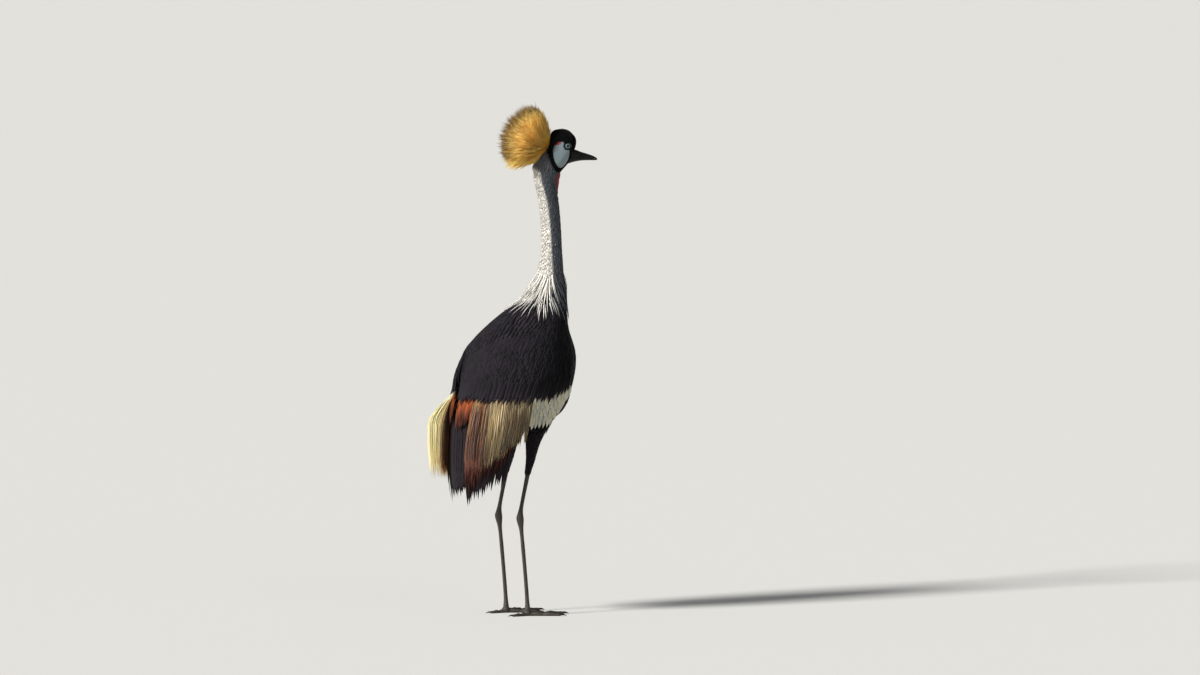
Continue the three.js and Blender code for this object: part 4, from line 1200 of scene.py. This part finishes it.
for name, side in SIDES:
    cheek = sheet(f"bare_cheek_{name}", 56, 72)
    across, up, _ = read(cheek).T
    a, b = across * np.sqrt(1 - up**2 / 2), up * np.sqrt(1 - across**2 / 2)
    radius = np.hypot(a, b)
    x = CHEEK["x"] + CHEEK["half"] * a * (1 + CHEEK["egg"] * b)
    z = CHEEK["z"] + CHEEK["tall"] * b
    at, out = side_of_head(x, z, side)
    under_lid = 1 - smooth(np.hypot(x - EYE["x"], z - EYE["z"]), 7.4, 10.4)
    raised = 0.9 + 0.5 * (1 - radius**2) - 2.4 * smooth(radius, 0.84, 1.0) - 6.5 * under_lid
    write(cheek, turned(at + out * raised[:, None]) + SHIFT)
    spot = 1 - np.hypot((x - RED_SPOT["x"]) / RED_SPOT["half"], (z - RED_SPOT["z"]) / RED_SPOT["tall"])
    red_values = cheek.data.attributes.new("red", "FLOAT", "POINT").data
    red_values.foreach_set("value", np.clip(0.5 + spot * 1.3, 0, 1))
    if side > 0:
        edited(FLIPPED)
    wall = cheek.modifiers.new("wall", "SOLIDIFY")
    wall.thickness = CHEEK_WALL * MM
    wall.offset = -1
    bpy.ops.object.modifier_apply(modifier="wall")
    bpy.ops.object.shade_smooth()
    finish_piece(cheek, cheek_look, "cheek_skin", [f"cheek_{name}"])

# %% [markdown]
# ## Wattle
# A strip of bare red skin hangs under the throat. It is a form of sections like the body, with
# folds that run down it.

# %% The wattle
red_look, tree, shader = new_look("red_skin", Roughness=0.55, Subsurface_Weight=0.2, Subsurface_Scale=0.003)
fine = grain(tree, 700.0, 4.0)
show_ramp(tree, shader, fine, (0, (66, 4, 7)), (1, (140, 10, 13)))
raise_by(tree, shader, fine, 0.5, 0.0006)

wattle = sphere_on(WATTLE, "throat_wattle", even_levels(WATTLE, 890, 956, 60), 48, 0.3)
co = read(wattle) / MM
x, y, z = straight(co).T
angle = np.arctan2(y, x - between(WATTLE, MID, np.clip(z, 890, 956)))
fold = np.sin(angle * 7 + z * 0.12) * 0.35 + np.sin(angle * 3 - z * 0.35) * 0.3
write(wattle, co + read(wattle, "normal") * (fold * smooth(z, 890, 900))[:, None])
finish_piece(wattle, red_look, "red_skin", ["wattle"])

# %% [markdown]
# ## Legs, feet and claws
# Bare legs carry horny scutes: a ladder of plates down the front of the foot bone and over the
# top of each toe, and small round scales elsewhere. The plates are raised in the mesh by a
# saw-tooth along each rod, and the small scales are a Voronoi bump.

# %% Leg scales
leg_look, tree, shader = new_look("leg_scales", Roughness=0.5, Specular_IOR_Level=0.4)
place = step(tree, "TexCoord").outputs["Object"]
cells = step(tree, "TexVoronoi", place, None, 420.0, feature="DISTANCE_TO_EDGE").outputs["Distance"]
scales = ranged(tree, cells, 0.0, 0.22, 0.0, 1.0)
patchy = sums(tree, "MULTIPLY", scales, mottle(tree, 160.0, 0.6, 1.0))
show_ramp(tree, shader, patchy, (0, (26, 23, 20)), (1, (74, 66, 54)))
raise_by(tree, shader, scales, 0.5, 0.0005)

# %% Toes and claws
TOES = (("middle", 3, 88, 5.2), ("inner", -31, 66, 4.7), ("outer", 35, 71, 4.7), ("hind", 178, 38, 4.2))
TOE_HUB_X = -8
HUB_SIZE, HUB_Z = np.array([9.5, 8.6, 7.0]), 7.0
TOE_SHAPE = np.array([(0, 1.25), (0.3, 1), (0.46, 0.84), (0.64, 0.94), (1, 0.62)])
BLUNT_FROM, BLUNT_LONG = 0.93, 0.075
PLATE = {"toe": 3.4, "toe_high": 0.4, "leg": 4.6, "leg_high": 0.5}
CLAW = {"long": 17.0, "rooted": 3.0, "half": 0.46}


def saw(along, pitch, height):
    return height * ((along / pitch) % 1)


def toe_place(heading, side, x, y, z):
    turn = math.radians(side * heading)
    c, s = math.cos(turn), math.sin(turn)
    return np.stack([TOE_HUB_X + x * c - y * s, x * s + y * c + side * LEG_SPREAD, z], -1) + SHIFT


def toe(side, heading, long, half):
    def place(s, around):
        x = long * s
        knuckles = 1 + 0.07 * np.cos((s - 0.3) / 0.34 * FULL_TURN) * smooth(s, 0.15, 0.3)
        blunt = np.sqrt(np.clip(1 - (np.maximum(s - BLUNT_FROM, 0) / BLUNT_LONG) ** 2, 0.1, 1))
        r = half * np.interp(s, *TOE_SHAPE.T) * knuckles * blunt * closing(s)
        lift = np.sin(around)
        z = np.maximum(0.85 * r * (1 + lift) - 0.12 * r, 0) * 1.06
        z = z + smooth(lift, 0.1, 0.7) * saw(x, PLATE["toe"], PLATE["toe_high"]) * closing(s)
        return toe_place(heading, side, x, r * np.cos(around), z)

    return wrapped("toe", 110, 22, place)


def claw(name, side, heading, long, half):
    base = half * CLAW["half"]

    def place(s, around):
        x = long - CLAW["rooted"] + CLAW["long"] * s
        r = base * (1 - s**1.8) * closing(s)
        line = base + 0.6 + 0.9 * np.sin(s * math.pi) - (base + 0.1) * s**2.4
        y, z = r * 0.85 * np.cos(around), np.maximum(line + r * np.sin(around), 0.02)
        return toe_place(heading, side, x, y, z)

    return wrapped(name, 24, 16, place)


# %% Both legs
for name, side in SIDES:
    aside = side * LEG_SPREAD
    leg = sphere_on(LEG, f"leg_{name}_scaled", np.linspace(8, 330, 300), 28, 0.15, aside)
    co, normals = read(leg) / MM, read(leg, "normal")
    z = co[:, 2]
    ladder = smooth(normals[:, 0], 0.15, 0.6) * smooth(z, 18, 26) * (1 - smooth(z, 286, 294))
    write(leg, co + normals * (ladder * (0.42 - saw(z, PLATE["leg"], PLATE["leg_high"])))[:, None])
    hub = ball("hub", 24, 14)
    write(hub, read(hub) * HUB_SIZE + [TOE_HUB_X, aside, HUB_Z] + SHIFT)
    combine(leg, hub, "UNION")
    for toe_name, *toe_form in TOES:
        combine(leg, toe(side, *toe_form), "UNION")
        nail = claw(f"nail_{toe_name}_{name}", side, *toe_form)
        finish_piece(nail, horn_look, "horn", [f"claw_{toe_name}_{name}"])
    finish_piece(leg, leg_look, "leg_skin", [f"shank_{name}", f"tarsus_{name}", f"foot_{name}"])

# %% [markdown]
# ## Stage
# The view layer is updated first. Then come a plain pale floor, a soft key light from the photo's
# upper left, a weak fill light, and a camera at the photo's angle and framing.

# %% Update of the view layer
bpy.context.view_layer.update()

# %% The floor, the light and the camera
AZIMUTH, ELEVATION = math.radians(-32), math.radians(4)
FRAME_WIDTH, DISTANCE = 2.58, 25.0
VIEW_X, VIEW_Z = 0.172, 0.5945
SENSOR = 36
WORLD_LIGHT = 0.28

floor = added("floor", bpy.ops.mesh.primitive_circle_add, vertices=96, radius=150, fill_type="NGON")
floor_look, tree, shader = new_look("pale_floor", Roughness=0.85, Base_Color=(*colour(206, 204, 198), 1))
floor.data.materials.append(floor_look)

world = bpy.data.worlds.new("studio")
bpy.context.scene.world = world
world.use_nodes = True
background = world.node_tree.nodes["Background"].inputs
background["Color"].default_value = (*colour(226, 230, 236), 1)
background["Strength"].default_value = WORLD_LIGHT

right = Vector((math.cos(AZIMUTH), math.sin(AZIMUTH), 0))
away = Vector((-math.sin(AZIMUTH), math.cos(AZIMUTH), 0))
back = Vector((0, 0, math.sin(ELEVATION))) - away * math.cos(ELEVATION)
above = back.cross(right)


def aimed(name, data, towards):
    made = linked(name, data)
    made.rotation_mode = "QUATERNION"
    made.rotation_quaternion = towards.to_track_quat("Z", "Y")
    return made


def sun(name, sideways, nearer, higher, strength, softness):
    light = bpy.data.lights.new(name, "SUN")
    light.energy = strength
    light.angle = math.radians(softness)
    aimed(name, light, right * sideways - away * nearer + Vector((0, 0, higher)))


sun("key_light", sideways=-0.83, nearer=0.56, higher=0.6, strength=6.2, softness=12)
sun("fill_light", sideways=0.5, nearer=0.8, higher=0.5, strength=0.25, softness=40)

lens = bpy.data.cameras.new("camera")
lens.sensor_width = SENSOR
lens.lens = SENSOR * DISTANCE / FRAME_WIDTH
lens.clip_end = 400
camera = aimed("camera", lens, back)
camera.location = right * VIEW_X + above * VIEW_Z + back * DISTANCE + Vector(SHIFT * MM)
bpy.context.scene.camera = camera
bpy.context.scene.view_settings.view_transform = "Standard"
